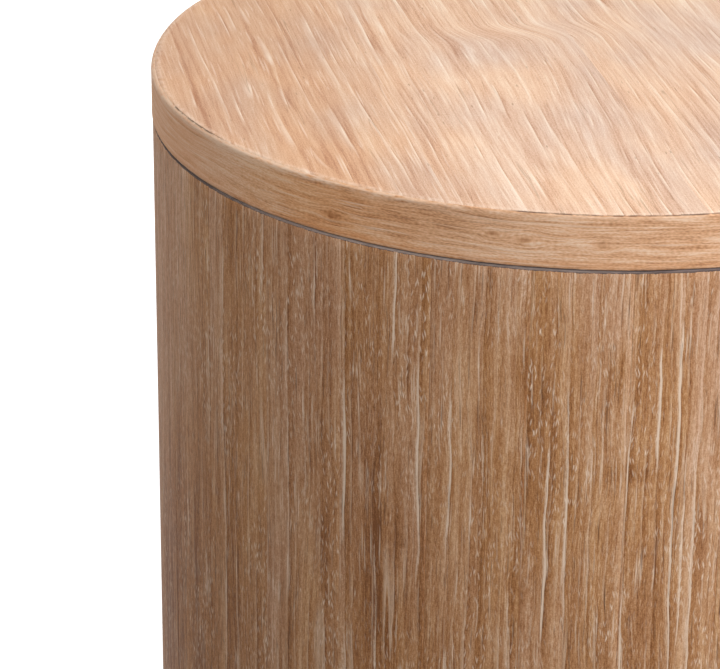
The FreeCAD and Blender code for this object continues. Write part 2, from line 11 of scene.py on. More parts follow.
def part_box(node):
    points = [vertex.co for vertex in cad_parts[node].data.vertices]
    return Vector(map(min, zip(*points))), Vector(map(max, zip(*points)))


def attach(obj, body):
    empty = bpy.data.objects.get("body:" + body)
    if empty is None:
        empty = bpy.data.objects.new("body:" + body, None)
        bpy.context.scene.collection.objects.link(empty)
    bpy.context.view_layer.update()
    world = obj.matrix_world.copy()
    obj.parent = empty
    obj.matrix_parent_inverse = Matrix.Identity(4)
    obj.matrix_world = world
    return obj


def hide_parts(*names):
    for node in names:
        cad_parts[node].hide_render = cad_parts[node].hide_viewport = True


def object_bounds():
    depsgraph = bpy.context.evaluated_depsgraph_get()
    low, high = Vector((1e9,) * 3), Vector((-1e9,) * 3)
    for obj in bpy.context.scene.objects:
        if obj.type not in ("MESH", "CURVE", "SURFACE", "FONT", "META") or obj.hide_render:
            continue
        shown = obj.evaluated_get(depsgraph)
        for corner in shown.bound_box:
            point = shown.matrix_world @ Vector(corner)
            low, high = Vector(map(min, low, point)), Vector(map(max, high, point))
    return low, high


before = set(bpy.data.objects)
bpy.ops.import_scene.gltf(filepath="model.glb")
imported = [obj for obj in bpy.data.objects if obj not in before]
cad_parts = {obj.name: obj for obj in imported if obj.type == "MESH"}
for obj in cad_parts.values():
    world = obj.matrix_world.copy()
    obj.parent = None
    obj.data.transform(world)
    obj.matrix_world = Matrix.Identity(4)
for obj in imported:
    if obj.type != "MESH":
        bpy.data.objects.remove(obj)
cad_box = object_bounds()
MM = 0.001


def numbered(start):
    """CAD nodes whose names begin with a text and end in a digit, in order."""
    return sorted(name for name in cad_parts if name.startswith(start) and name[-1].isdigit())


def lowest(node):
    """Height of a CAD node's lowest point."""
    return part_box(node)[0].z


def highest(node):
    """Height of a CAD node's highest point."""
    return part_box(node)[1].z


STAVE_NODES = numbered("stave_")
BAND_NODES = numbered("top_edge_band_")
LEAF_NODES = numbered("top_face_leaf_")
FEET = range(1, 5)

# Places read from the frame, in metres.
TOP_RADIUS = cad_box[1].x
TOP_FACE = cad_box[1].z
TOP_UNDERSIDE = lowest(BAND_NODES[0])
VENEER_UNDERSIDE = lowest(LEAF_NODES[1])
CORE_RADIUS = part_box("top_core")[1].x
DRUM_RADIUS = max(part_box(name)[1].x for name in STAVE_NODES)
DRUM_TOP = highest(STAVE_NODES[0])
DRUM_FOOT = lowest(STAVE_NODES[0])
FORMER_UNDERSIDE = lowest("bottom_former")

# Sizes that the frame doesn't give by a box, in metres and degrees.
TOP_ARRIS = 2 * MM
LOWER_ARRIS = 1.2 * MM
GRAIN_ANGLE = -75
STAVE_THICKNESS = 19 * MM
FIRST_JOINT = 0.6
GROOVE_WIDTH, GROOVE_DEPTH = 4.1 * MM, 6.1 * MM
FOOT_CHAMFER = 1.5 * MM
HEAD_CHAMFER = 0.4 * MM
FIRST_BAND_JOINT = 178
REVEAL_DEPTH = 1.8 * MM
RING_HOLE = 215.5 * MM
PLY_PAIR = 2.8 * MM

# Angles on the table are in degrees from the front, clockwise seen from above; the front faces -Y.
FRONT = -90

# The camera stands where a camera fitted to the rim and the reveal of the photographed table stood.
CAMERA_PLACE = (0, -2.0244, 1.2795)
CAMERA_YAW, CAMERA_PITCH, CAMERA_ROLL = -4.45, 23.65, 0.61
CAMERA_LENS, CAMERA_SENSOR = 151.15, 36


def srgb(red, green, blue):
    """A colour written as 8-bit values, as shader sockets want it."""
    parts = [value / 255 for value in (red, green, blue)]
    return tuple(p / 12.92 if p <= 0.04045 else ((p + 0.055) / 1.055) ** 2.4 for p in parts) + (1,)


def blend(low, high, share):
    """The value between two, at a share of the way."""
    return low + (high - low) * share


def held(value):
    """A value held between 0 and 1."""
    return min(max(value, 0), 1)


def ease(share):
    """A share from 0 to 1 that starts and stops gently."""
    share = held(share)
    return share * share * (3 - 2 * share)


def between(value, start, rise, end, fall):
    """1 well inside two ends and 0 outside them, with slopes as wide as rise and fall."""
    return ease((value - start) / rise) * ease((end - value) / fall)


def wrapped(angle):
    """An angle brought between -180 and 180 degrees."""
    return (angle + 180) % 360 - 180


def waver(*place):
    """Smooth noise from -1 to 1 at a place of one to three numbers."""
    return noise.noise(Vector(tuple(place) + (0.37,) * (3 - len(place))))


def ripples(angle, *waves):
    """A sum of noises that closes round the table; each has its amount, features to the radius and seed."""
    x, y = math.cos(math.radians(angle)), math.sin(math.radians(angle))
    return sum(amount * waver(x * scale, y * scale, seed) for amount, scale, seed in waves)


# Meshes


def skin(rings, closed, joined):
    """Faces between neighbouring rings of equally many points.

    closed: each ring is a loop. joined: the last ring meets the first.
    """
    size, count = len(rings[0]), len(rings)
    points = [point for ring in rings for point in ring]
    faces = []
    for row in range(count if joined else count - 1):
        here, there = row * size, (row + 1) % count * size
        for step in range(size if closed else size - 1):
            following = (step + 1) % size
            faces.append((here + step, here + following, there + following, there + step))
    return points, faces


def capped(rings):
    """A skin of loops with a face over its first and its last loop."""
    points, faces = skin(rings, closed=True, joined=False)
    size = len(rings[0])
    last = len(points) - size
    faces.append(tuple(reversed(range(size))))
    faces.append(tuple(range(last, last + size)))
    return points, faces


def corner_arc(radius, height, size, first, last, steps=5):
    """Radius and height of points on a rounded corner, round its centre, between two angles in degrees."""
    turns = [math.radians(blend(first, last, step / steps)) for step in range(steps + 1)]
    return [(radius + size * math.cos(turn), height + size * math.sin(turn)) for turn in turns]


def around(angle, radius, height):
    """A point at an angle from the front, a radius and a height."""
    turn = math.radians(FRONT - angle)
    return (radius * math.cos(turn), radius * math.sin(turn), height)


def front_angle(x, y):
    """Angle of a place from the front, in degrees from -180 to 180."""
    return wrapped(FRONT - math.degrees(math.atan2(y, x)))


def new_object(name, data):
    """An object in the scene."""
    piece = bpy.data.objects.new(name, data)
    bpy.context.scene.collection.objects.link(piece)
    return piece


def make_object(name, points, faces, sharp=38):
    """A mesh object with smooth faces, and sharp edges where faces meet at more than an angle."""
    mesh = bpy.data.meshes.new(name)
    mesh.from_pydata([tuple(point) for point in points], [], faces)
    piece = new_object(name, mesh)
    tidy_mesh(piece, sharp)
    return piece


def tidy_mesh(piece, sharp):
    """Point a mesh's faces outwards, shade it smooth and mark its sharp edges."""
    work = bmesh.new()
    work.from_mesh(piece.data)
    bmesh.ops.recalc_face_normals(work, faces=work.faces)
    for face in work.faces:
        face.smooth = True
    for edge in work.edges:
        edge.smooth = edge.is_manifold and edge.calc_face_angle(0) < math.radians(sharp)
    work.to_mesh(piece.data)
    work.free()


def add_grain_map(piece, pairs):
    """Store where each vertex lies across and along the grain, in metres, as the map named Grain."""
    layer = piece.data.uv_layers.new(name="Grain")
    for loop in piece.data.loops:
        layer.data[loop.index].uv = pairs[loop.vertex_index]


def add_values(piece, **values):
    """Store lists of one number for each vertex under names that materials read."""
    for name, numbers in values.items():
        layer = piece.data.attributes.new(name, "FLOAT", "POINT")
        layer.data.foreach_set("value", numbers)


def finish_piece(piece, body, slot, materials, *nodes):
    """Give a piece its materials, and put it in the place of CAD nodes."""
    for material in materials:
        piece.data.materials.append(material)
    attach(piece, body)
    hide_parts(*nodes)


# Materials


class Tree:
    """The nodes of a material or of the world, with short names for wiring them."""

    def __init__(self, holder):
        self.holder = holder
        holder.use_nodes = True
        holder.node_tree.nodes.clear()

    def add(self, kind, inputs=None, **settings):
        """Add a node, with settings, and values or sockets for its inputs."""
        node = self.holder.node_tree.nodes.new("ShaderNode" + kind)
        for key, value in settings.items():
            setattr(node, key, value)
        for key, value in (inputs or {}).items():
            if isinstance(value, bpy.types.NodeSocket):
                self.holder.node_tree.links.new(value, node.inputs[key])
            else:
                node.inputs[key].default_value = value
        return node

    def calc(self, operation, *values):
        """A Math node's result."""
        return self.add("Math", dict(enumerate(values)), operation=operation).outputs[0]

    def total(self, start, *parts):
        """A start with values added to it, each given with its weight."""
        for value, weight in parts:
            start = self.calc("MULTIPLY_ADD", value, weight, start)
        return start

    def product(self, first, *others):
        """Values multiplied."""
        for value in others:
            first = self.calc("MULTIPLY", first, value)
        return first

    def span(self, value, low, high, to_low=0.0, to_high=1.0, smooth=False):
        """A value mapped from one range to another and held inside it."""
        inputs = {0: value, 1: low, 2: high, 3: to_low, 4: to_high}
        kind = "SMOOTHSTEP" if smooth else "LINEAR"
        return self.add("MapRange", inputs, interpolation_type=kind).outputs[0]

    def pair(self, across, along):
        """A vector made of two parts."""
        return self.add("CombineXYZ", {0: across, 1: along}).outputs[0]

    def scaled(self, across, along, wide, long, shift):
        """A vector for a texture with so many features per metre across and along the grain."""
        return self.pair(self.total(shift, (across, wide)), self.product(along, long))

    def noise(self, vector, dimensions, detail=2.0, roughness=0.5, distortion=0.0):
        """Noise about zero, mostly from -0.5 to 0.5, with features one unit of the vector wide."""
        node = self.add("TexNoise", {"Vector": vector, "Scale": 1}, noise_dimensions=dimensions)
        for name, value in (("Detail", detail), ("Roughness", roughness), ("Distortion", distortion)):
            node.inputs[name].default_value = value
        return self.calc("SUBTRACT", node.outputs[0], 0.5)

    def figure(self, across, along, wide, long, shift=0.0, **settings):
        """Noise with so many features per metre across and along the grain."""
        return self.noise(self.scaled(across, along, wide, long, shift), "2D", **settings)

    def solid(self, *scale, **settings):
        """Noise in the table's frame, with so many features per metre along each axis."""
        place = self.add("TexCoord").outputs["Object"]
        return self.noise(self.add("Mapping", {0: place, 3: scale}).outputs[0], "3D", **settings)

    def strokes(self, across, along, wide, long, size, share, shift=0.0):
        """Short crisp strokes of a size, 1 in their middle and 0 outside, in a share of the cells."""
        inputs = {"Vector": self.scaled(across, along, wide, long, shift), "Scale": 1, "Randomness": 1}
        node = self.add("TexVoronoi", inputs, voronoi_dimensions="2D")
        near = self.span(node.outputs["Distance"], size, size * 0.35)
        colour = self.add("SeparateColor", {0: node.outputs["Color"]})
        return self.product(near, self.calc("LESS_THAN", colour.outputs[0], share), colour.outputs[1])

    def layers(self, across, along, *layers):
        """Grain made of noises; each has its features per metre across and along, detail and weight."""
        parts = []
        for number, (wide, long, detail, weight) in enumerate(layers):
            part = self.figure(across, along, wide, long, 3.7 * number, detail=detail, roughness=0.6)
            parts.append((part, weight))
        return self.total(0, *parts)

    def rings(self, across, along, spacing, wander):
        """Wandering growth lines: a tone that climbs to each, its pale line and the dark side past it."""
        stray = self.figure(across, along, 0.45 / spacing, 1.7, detail=1.0)
        phase = self.total(self.calc("DIVIDE", across, spacing), (stray, wander))
        climb = self.calc("FRACT", phase)
        strength = self.span(self.figure(phase, along, 0.9, 13, 5), -0.04, 0.2)
        rise = self.calc("POWER", self.span(climb, 0.66, 0.97), 2)
        pale = self.product(rise, self.span(climb, 1, 0.97), strength)
        dark = self.product(self.span(climb, 0.34, 0), strength)
        return self.calc("SUBTRACT", climb, 0.5), pale, dark

    def seams(self, across, along, wide, long, thin, shift=2.9):
        """Thin lines where a stretched noise passes zero, broken up along their length."""
        crossing = self.figure(across, along, wide, long, shift)
        near = self.span(self.calc("ABSOLUTE", crossing), thin, 0)
        broken = self.figure(across, along, wide * 0.4, long * 3, shift + 3.2, detail=1.0)
        return self.product(near, self.span(broken, 0.06, 0.16))

    def mix(self, share, first, second, kind="MIX"):
        """Two colours mixed."""
        node = self.add("Mix", {0: share, 6: first, 7: second}, data_type="RGBA", blend_type=kind)
        return node.outputs[2]

    def tinge(self, colour, tint, share=1.0):
        """A colour multiplied by a tint, to a share."""
        return self.mix(share, colour, tint, "MULTIPLY")

    def cover(self, colour, amount, most, paint):
        """A colour covered by another one, by an amount up to a limit."""
        return self.mix(self.calc("MINIMUM", amount, most), colour, paint)

    def ramp(self, value, *stops):
        """A colour for a value; each stop is its place and the red, green and blue of its colour."""
        node = self.add("ValToRGB", {0: value})
        elements = node.color_ramp.elements
        while len(elements) < len(stops):
            elements.new(0.5)
        for element, (place, *colour) in zip(elements, stops):
            element.position = place
            element.color = srgb(*colour)
        return node.outputs[0]

    def grain_map(self):
        """The stored places across and along the grain."""
        split = self.add("SeparateXYZ", {0: self.add("UVMap", uv_map="Grain").outputs[0]})
        return split.outputs[0], split.outputs[1]

    def object_place(self):
        """The three parts of the place in the table's frame."""
        return self.add("SeparateXYZ", {0: self.add("TexCoord").outputs["Object"]}).outputs

    def reach(self):
        """The distance from the table's axis."""
        x, y, _ = self.object_place()
        return self.add("VectorMath", {0: self.pair(x, y)}, operation="LENGTH").outputs["Value"]

    def upright(self):
        """How squarely a surface faces up or down, from 0 to 1."""
        normal = self.add("NewGeometry").outputs["Normal"]
        return self.calc("ABSOLUTE", self.add("SeparateXYZ", {0: normal}).outputs[2])

    def stored(self, name):
        """A number stored on the vertices."""
        return self.add("Attribute", attribute_name=name).outputs["Fac"]

    def seen(self):
        """1 for rays of the camera, of gloss and of glass, and 0 for light on its way to other surfaces."""
        path = self.add("LightPath")
        seen = path.outputs["Is Camera Ray"]
        for name in ("Is Glossy Ray", "Is Transmission Ray"):
            seen = self.calc("MAXIMUM", seen, path.outputs[name])
        return seen

    def surface(self, colour, roughness, height, depth, **sockets):
        """Finish a material: its colour, its roughness, the height and depth of its relief, and values."""
        bump = self.add("Bump", {"Height": height, "Distance": depth, "Strength": 1.0})
        inputs = {"Base Color": colour, "Roughness": roughness, "Normal": bump.outputs[0]}
        inputs.update({name.replace("_", " "): value for name, value in sockets.items()})
        shader = self.add("BsdfPrincipled", inputs)
        self.add("OutputMaterial", {0: shader.outputs[0]})
        return self.holder


def new_tree(name):
    """The empty tree of a new material."""
    return Tree(bpy.data.materials.new(name))


def drum_wood():
    """Stained and limed wood of the staves: fibres, streaks, pale filled lines and short flecks."""
    tree = new_tree("drum_wood")
    across, along = tree.grain_map()
    board = tree.stored("board")
    u = tree.total(across, (board, 5.13))
    v = tree.total(along, (board, 3.71))
    u = tree.total(u, (tree.figure(u, v, 24, 7, detail=1.0), 0.004))
    grain = tree.layers(
        u, v,
        (16, 4, 2, 0.22), (60, 2, 2, 0.32), (150, 8, 2, 0.34), (340, 26, 2, 0.32), (620, 110, 1.5, 0.28),
        (1100, 300, 1.5, 0.42), (1300, 1000, 0, 0.2),
    )
    climb, pale, dark = tree.rings(u, v, 0.0075, 2.6)
    fibre = tree.figure(u, v, 1000, 40, 7.1, roughness=0.6)
    # The stored tone holds board tones, patches and painted shade towards the drum's foot.
    stored_tone = tree.stored("tone")
    tone = tree.total(0.5, (grain, 1), (climb, 0.08), (dark, -0.14), (fibre, 0.3), (stored_tone, 0.08))
    wood = tree.ramp(
        tone, (0.16, 126, 82, 50), (0.38, 171, 123, 84), (0.55, 194, 149, 111), (0.84, 226, 189, 155)
    )
    # The stored tint adds a painted bluish sheen on the drum's left side, and a golden front.
    pinkish = tree.total(tree.figure(u, v, 14, 4, 4.4), (stored_tone, 0.1), (tree.stored("cool"), 0.3))
    hue = tree.mix(tree.span(pinkish, -0.24, 0.24), srgb(255, 244, 224), srgb(255, 250, 255))
    wood = tree.tinge(wood, hue)

    leaning = tree.strokes(tree.total(u, (v, 0.2)), v, 640, 115, 0.38, 0.34)
    falling = tree.strokes(tree.total(u, (v, -0.17)), v, 700, 130, 0.38, 0.3, 2)
    patch = tree.figure(u, v, 26, 8, 9.9, detail=1.0)
    flecks = tree.product(tree.calc("ADD", leaning, falling), tree.span(patch, -0.1, 0.18, 0.22, 1))
    scratch = tree.strokes(u, v, 460, 17, 0.3, 0.3, 5)
    thread = tree.seams(u, v, 210, 8, 0.016, 12.1)
    line = tree.span(tree.total(tree.stored("line"), (fibre, 0.5), (grain, 0.4)), 0.08, 0.62)
    lime = tree.total(0, (flecks, 0.86), (scratch, 0.6), (line, 1.1), (pale, 0.5), (thread, 0.65))
    wood = tree.cover(wood, lime, 0.94, srgb(243, 217, 193))
    pore = tree.strokes(u, v, 420, 20, 0.26, 0.26, 8)
    seam = tree.total(tree.seams(u, v, 130, 3.5, 0.014), (tree.seams(u, v, 240, 10, 0.016, 19.3), 0.9))
    soil = tree.total(0, (pore, 0.6), (seam, 0.55))
    wood = tree.cover(wood, soil, 0.8, srgb(98, 70, 50))

    raw_tone = tree.total(0.5, (grain, 0.8))
    raw = tree.ramp(raw_tone, (0.2, 176, 138, 98), (0.5, 208, 172, 130), (0.8, 228, 198, 160))
    wood = tree.mix(tree.span(tree.reach(), DRUM_RADIUS - 1.5 * MM, DRUM_RADIUS - 2.3 * MM), wood, raw)
    x, y, _ = tree.object_place()
    end_pore = tree.strokes(x, y, 1500, 1500, 0.34, 0.5)
    end_tone = tree.total(0.5, (tree.figure(x, y, 620, 620, detail=3.0), 0.9), (end_pore, -0.3))
    end = tree.ramp(end_tone, (0.2, 104, 72, 48), (0.5, 150, 112, 78), (0.8, 184, 146, 110))
    wood = tree.mix(tree.span(tree.upright(), 0.8, 0.95), wood, end)
    ragged = tree.layers(u, v, (160, 40, 2, 0.9 * MM), (900, 300, 0, 0.5 * MM))
    painted = tree.span(tree.total(along, (ragged, 1)), DRUM_TOP - 0.35 * MM, DRUM_TOP - 0.15 * MM)
    wood = tree.mix(painted, wood, srgb(96, 82, 76))
    height = tree.total(0, (grain, 0.8), (fibre, 0.5), (soil, -0.5), (flecks, 0.2))
    return tree.surface(wood, tree.total(0.66, (fibre, 0.2)), height, 0.3 * MM, Specular_IOR_Level=0.22)


def band_wood():
    """Limed wood of the edge band, with its grain round the rim and wavy lines."""
    tree = new_tree("edge_band_wood")
    across, along = tree.grain_map()
    calm = tree.stored("calm")
    u = tree.total(across, (tree.figure(across, along, 40, 9), 0.006))
    grain = tree.layers(
        u, along,
        (90, 6, 2, 0.28), (300, 15, 2, 0.44), (800, 44, 1.5, 0.5), (160, 60, 2.5, 0.24),
        (1200, 420, 0.5, 0.38),
    )
    grain = tree.product(grain, tree.total(1, (calm, -0.55)))
    climb, pale, dark = tree.rings(u, along, 0.0045, 2.4)
    cloud = tree.figure(across, along, 30, 11, 2.2)
    stored_tone = tree.stored("tone")
    tone = tree.total(0.5, (grain, 1), (climb, 0.06), (dark, -0.1), (cloud, 0.25), (stored_tone, 0.1))
    wood = tree.ramp(
        tone, (0.22, 172, 122, 84), (0.42, 211, 161, 120), (0.58, 231, 184, 145), (0.82, 246, 214, 184)
    )
    # On the band the stored value warms one stretch of the wood.
    wood = tree.tinge(wood, tree.mix(tree.stored("warm"), srgb(255, 252, 252), srgb(255, 236, 214)))
    wood = tree.tinge(wood, srgb(255, 243, 234), calm)
    # Painted shade: the band darker towards its lower edge, over the groove.
    painted_shade_low_edge = tree.span(across, TOP_UNDERSIDE + 6 * MM, TOP_UNDERSIDE + 0.5 * MM, smooth=True)
    wood = tree.tinge(wood, srgb(246, 231, 214), painted_shade_low_edge)
    scratch = tree.strokes(u, along, 620, 20, 0.36, 0.35, 5)
    rough = tree.figure(across, along, 700, 160, 4)
    # Paler along the upper arris: real wear, and a painted highlight where the rounded edge catches light.
    wear_and_highlight = tree.product(tree.stored("wear_and_highlight"), tree.span(rough, -0.25, 0.1))
    thread = tree.seams(u, along, 330, 7, 0.022, 12.1)
    lime = tree.total(0, (scratch, 0.55), (pale, 0.55), (wear_and_highlight, 0.8), (thread, 0.6))
    wood = tree.cover(wood, lime, 0.9, srgb(247, 214, 186))
    broken = tree.span(tree.figure(across, along, 300, 150, 7.7), -0.2, 0.04)
    wood = tree.mix(tree.product(tree.stored("dirt"), broken), wood, srgb(104, 76, 58))
    height = tree.total(grain, (rough, 0.3))
    return tree.surface(wood, tree.total(0.68, (rough, 0.2)), height, 0.25 * MM, Specular_IOR_Level=0.22)


def face_wood():
    """Pale limed veneer of the top face, with long wavering lines."""
    tree = new_tree("face_wood")
    across, along = tree.grain_map()
    board = tree.stored("board")
    u = tree.total(across, (tree.figure(across, along, 11, 5), 0.005), (board, 0.33))
    v = tree.total(along, (board, 0.71))
    grain = tree.layers(
        u, v,
        (26, 7, 2, 0.34), (55, 2.5, 2, 0.4), (150, 4, 2, 0.54), (360, 12, 2, 0.46), (800, 42, 1.5, 0.38),
        (1200, 420, 0.5, 0.3), (1100, 900, 0, 0.24),
    )
    climb, pale, dark = tree.rings(u, v, 0.011, 2.6)
    # The stored value paints light on the face's back right, making it paler there.
    tone = tree.total(0.5, (grain, 0.88), (climb, 0.1), (dark, -0.16), (tree.stored("faded"), 0.12))
    wood = tree.ramp(
        tone, (0.14, 196, 146, 114), (0.4, 227, 186, 156), (0.58, 238, 203, 175), (0.86, 253, 229, 207)
    )
    cloud = tree.span(tree.figure(u, v, 18, 8, 4.4), -0.15, 0.25)
    wood = tree.tinge(wood, tree.mix(cloud, srgb(255, 252, 248), srgb(240, 242, 250)))
    # Painted shade on the face's left: darker and warmer there.
    wood = tree.tinge(wood, srgb(236, 224, 212), tree.stored("warm"))
    scratch = tree.strokes(u, v, 420, 16, 0.36, 0.35, 5)
    rough = tree.figure(across, along, 240, 160, 4)
    # Paler along the upper arris: real wear, and a painted highlight where the rounded edge catches light.
    wear_and_highlight = tree.product(tree.stored("wear_and_highlight"), tree.span(rough, -0.25, 0.1))
    thread = tree.seams(u, v, 260, 7, 0.016, 12.1)
    lime = tree.total(0, (scratch, 0.4), (pale, 0.7), (wear_and_highlight, 0.24), (thread, 0.4))
    wood = tree.cover(wood, lime, 0.9, srgb(255, 236, 216))
    speck = tree.strokes(u, v, 300, 60, 0.2, 0.06, 1)
    soil = tree.total(0, (tree.seams(u, v, 110, 3, 0.012), 0.45), (speck, 0.6))
    wood = tree.cover(wood, soil, 0.8, srgb(158, 116, 84))
    broken = tree.span(tree.figure(across, along, 200, 200, 7.7), -0.25, 0.02)
    wood = tree.mix(tree.product(tree.stored("dirt"), broken), wood, srgb(112, 84, 66))
    height = tree.total(grain, (soil, -0.4))
    return tree.surface(wood, tree.total(0.72, (grain, 0.15)), height, 0.25 * MM, Specular_IOR_Level=0.2)


def reveal_paint():
    """Dull charcoal paint in the groove, brushed round the drum and worn, with painted shade under the top,
    towards the right and at the far left.
    """
    tree = new_tree("reveal_paint")
    x, _, z = tree.object_place()
    brushed = tree.solid(160, 160, 1800)
    worn = tree.solid(35, 35, 400)
    tone = tree.total(0.5, (brushed, 0.7), (worn, 0.7))
    paint = tree.ramp(tone, (0.3, 172, 158, 152), (0.5, 204, 188, 180), (0.75, 226, 212, 204))
    # Painted shade: the groove darker towards the right and at the far left.
    painted_shade_by_side = tree.calc("MAXIMUM", tree.span(x, -120 * MM, 70 * MM), tree.span(x, -215 * MM, -250 * MM))
    paint = tree.tinge(paint, srgb(178, 172, 174), painted_shade_by_side)
    edge = tree.span(tree.reach(), DRUM_RADIUS - 1.1 * MM, DRUM_RADIUS - 0.5 * MM)
    paint = tree.mix(tree.product(edge, 0.6), paint, srgb(84, 70, 64))
    # Painted shadow under the top: the paint darkens towards the top's underside.
    from_top = tree.calc("SUBTRACT", TOP_UNDERSIDE, z)
    painted_shadow_under_top = tree.span(tree.total(from_top, (worn, 0.9 * MM)), 1.3 * MM, 0.7 * MM)
    paint = tree.mix(tree.product(painted_shadow_under_top, 0.92), paint, srgb(50, 42, 42))
    return tree.surface(paint, tree.total(0.7, (brushed, 0.2)), brushed, 0.2 * MM, Specular_IOR_Level=0.25)


def plain_wood(name, stretch, dark, middle, pale):
    """Planed wood of the hidden pieces, with its grain along the least stretched axis."""
    tree = new_tree(name)
    rings = tree.solid(*stretch, detail=3.0, roughness=0.6, distortion=0.4)
    fibres = tree.solid(*(6 * part for part in stretch))
    tone = tree.total(0.5, (rings, 0.9), (fibres, 0.5))
    wood = tree.ramp(tone, (0.25, *dark), (0.5, *middle), (0.78, *pale))
    return tree.surface(wood, tree.total(0.6, (fibres, 0.2)), fibres, 0.2 * MM, Specular_IOR_Level=0.3)


def plywood():
    """Birch plywood: a rotary-cut face above and below, and its plies on the edges."""
    tree = new_tree("plywood")
    figure = tree.solid(90, 9, 60, detail=3.0, roughness=0.55, distortion=1.2)
    fine = tree.solid(900, 60, 900)
    face_tone = tree.total(0.5, (figure, 0.7), (fine, 0.4))
    face = tree.ramp(face_tone, (0.25, 196, 160, 118), (0.5, 216, 184, 142), (0.8, 232, 206, 168))
    _, _, z = tree.object_place()
    ply = tree.calc("FRACT", tree.calc("DIVIDE", z, PLY_PAIR))
    layer = tree.span(tree.calc("ABSOLUTE", tree.calc("SUBTRACT", ply, 0.5)), 0.22, 0.28)
    chips = tree.solid(700, 700, 200, detail=3.0)
    edge_tone = tree.total(0.2, (layer, 0.45), (chips, 0.5))
    edge = tree.ramp(edge_tone, (0.1, 150, 112, 74), (0.5, 196, 158, 114), (0.8, 222, 192, 150))
    wood = tree.mix(tree.span(tree.upright(), 0.6, 0.8), edge, face)
    height = tree.total(0, (fine, 0.4), (layer, 0.2))
    return tree.surface(wood, tree.total(0.6, (fine, 0.2)), height, 0.2 * MM)


def fibreboard():
    """Medium-density fibreboard: felted brown specks."""
    tree = new_tree("fibreboard")
    felt = tree.solid(1500, 1500, 2600)
    tone = tree.total(0.5, (felt, 0.8), (tree.solid(40, 40, 200), 0.4))
    board = tree.ramp(tone, (0.2, 142, 112, 82), (0.5, 174, 142, 108), (0.8, 196, 166, 130))
    return tree.surface(board, tree.total(0.75, (felt, 0.2)), felt, 0.1 * MM, Specular_IOR_Level=0.2)


def zinc_steel():
    """Bright zinc plate, slightly cloudy and turned."""
    tree = new_tree("zinc_steel")
    cloud = tree.solid(300, 300, 300, detail=3.0)
    turned = tree.solid(200, 200, 5000)
    tone = tree.total(0.5, (cloud, 0.8), (turned, 0.3))
    steel = tree.ramp(tone, (0.2, 168, 170, 174), (0.5, 198, 200, 202), (0.8, 222, 222, 218))
    return tree.surface(steel, tree.total(0.34, (cloud, 0.25)), turned, 0.05 * MM, Metallic=1.0)


def nylon():
    """Moulded black nylon with a fine grained surface."""
    tree = new_tree("nylon")
    grain = tree.solid(2600, 2600, 2600)
    cloud = tree.solid(120, 120, 120)
    tone = tree.total(0.5, (grain, 0.5), (cloud, 0.6))
    plastic = tree.ramp(tone, (0.2, 34, 34, 35), (0.5, 46, 46, 47), (0.85, 62, 61, 60))
    return tree.surface(plastic, tree.total(0.5, (cloud, 0.3)), grain, 0.08 * MM)


def floor_paint():
    """A plain pale floor that a camera, gloss or glass sees as white where no shadow lies, with a painted
    shadow: its glow is weaker under and round the table.
    """
    tree = new_tree("floor")
    seen = tree.seen()
    # Painted shadow: the glow fades under the table and round its foot.
    clear = tree.span(tree.reach(), TOP_RADIUS - 15 * MM, TOP_RADIUS + 110 * MM, 0.12, 0.72, smooth=True)
    paint = tree.add("BsdfDiffuse", {"Color": tree.mix(seen, srgb(104, 104, 104), srgb(238, 238, 238))})
    glow = tree.add("Emission", {"Strength": tree.product(seen, clear)})
    both = tree.add("AddShader", {0: paint.outputs[0], 1: glow.outputs[0]})
    tree.add("OutputMaterial", {0: both.outputs[0]})
    return tree.holder


# Top

# Stretches of the rim where the glue line under the face veneer has opened: from, to, how much.
OPEN_GLUE_LINES = [(-24, 9, 1), (49, 66, 1), (120, 150, 0.7), (200, 232, 0.8), (275, 300, 0.6)]
OPEN_SLOPE = 3
GLUE_GAP = 0.45 * MM
DIRT_REACH = 0.8 * MM
# Reach of the pale arris, real wear and a painted highlight, inwards from the upper arris.
WEAR_HIGHLIGHT_REACH = 3 * MM
# Wear that adds to the radius of the upper arris: everywhere, left of the front, and at the most worn place,
# which has an angle from the front and a reach to each side.
ARRIS_WORN = 0.35 * MM
LEFT_EXTRA = 0.6 * MM
WORN_ANGLE, WORN_REACH, WORN_EXTRA = 84, 26, 2.4 * MM
# Stretches where the rim is worn, calmer and paler: start, slope there, end, slope there, in degrees.
WORN_RIM = (6, 22, 150, 30)
CALM_BAND = (40, 20, 165, 40)
PALE_BAND = (18, 24, 130, 30)
# Points round the meshes of the face and the reveal, and over the upper arris.
ROUND_STEPS = 540
ARRIS_STEPS = 5
# The mesh of the face has even rings up to a distance from the arris, then rings at these distances.
EVEN_RINGS = 92
EVEN_END = 8 * MM
RIM_RINGS = [distance * MM for distance in (6, 4.5, 3.2, 2.2, 1.4, 0.7, 0)]
# The swirl right of the face's middle: its place across and along the grain, its widths and its shift.
SWIRL = {"across": -25 * MM, "along": -62 * MM, "width": 55 * MM, "length": 45 * MM, "shift": 22 * MM}
# Steps of an edge band along its length and over its flat height.
BAND_STEPS = 260
BAND_ROWS = 18
BAND_HOLLOW = 0.12 * MM
# Middle and reach of the stretch where the band is warmer, in degrees from the front.
WARM_ANGLE, WARM_REACH = 33, 22
# Small knots of the band: angle from the front, height over its underside and reach in millimetres.
BAND_KNOTS = [
    (10, 20, 4.5), (6.2, 17, 6), (-2.7, 17, 5), (31, 13, 5), (95, 20, 6), (160, 15, 6), (-80, 18, 6),
]
KNOT_TONE = 2.4
# What sets the grain of one strip or leaf apart from the next.
BAND_SHIFT = 3.1
LEAF_SHIFT = 0.6


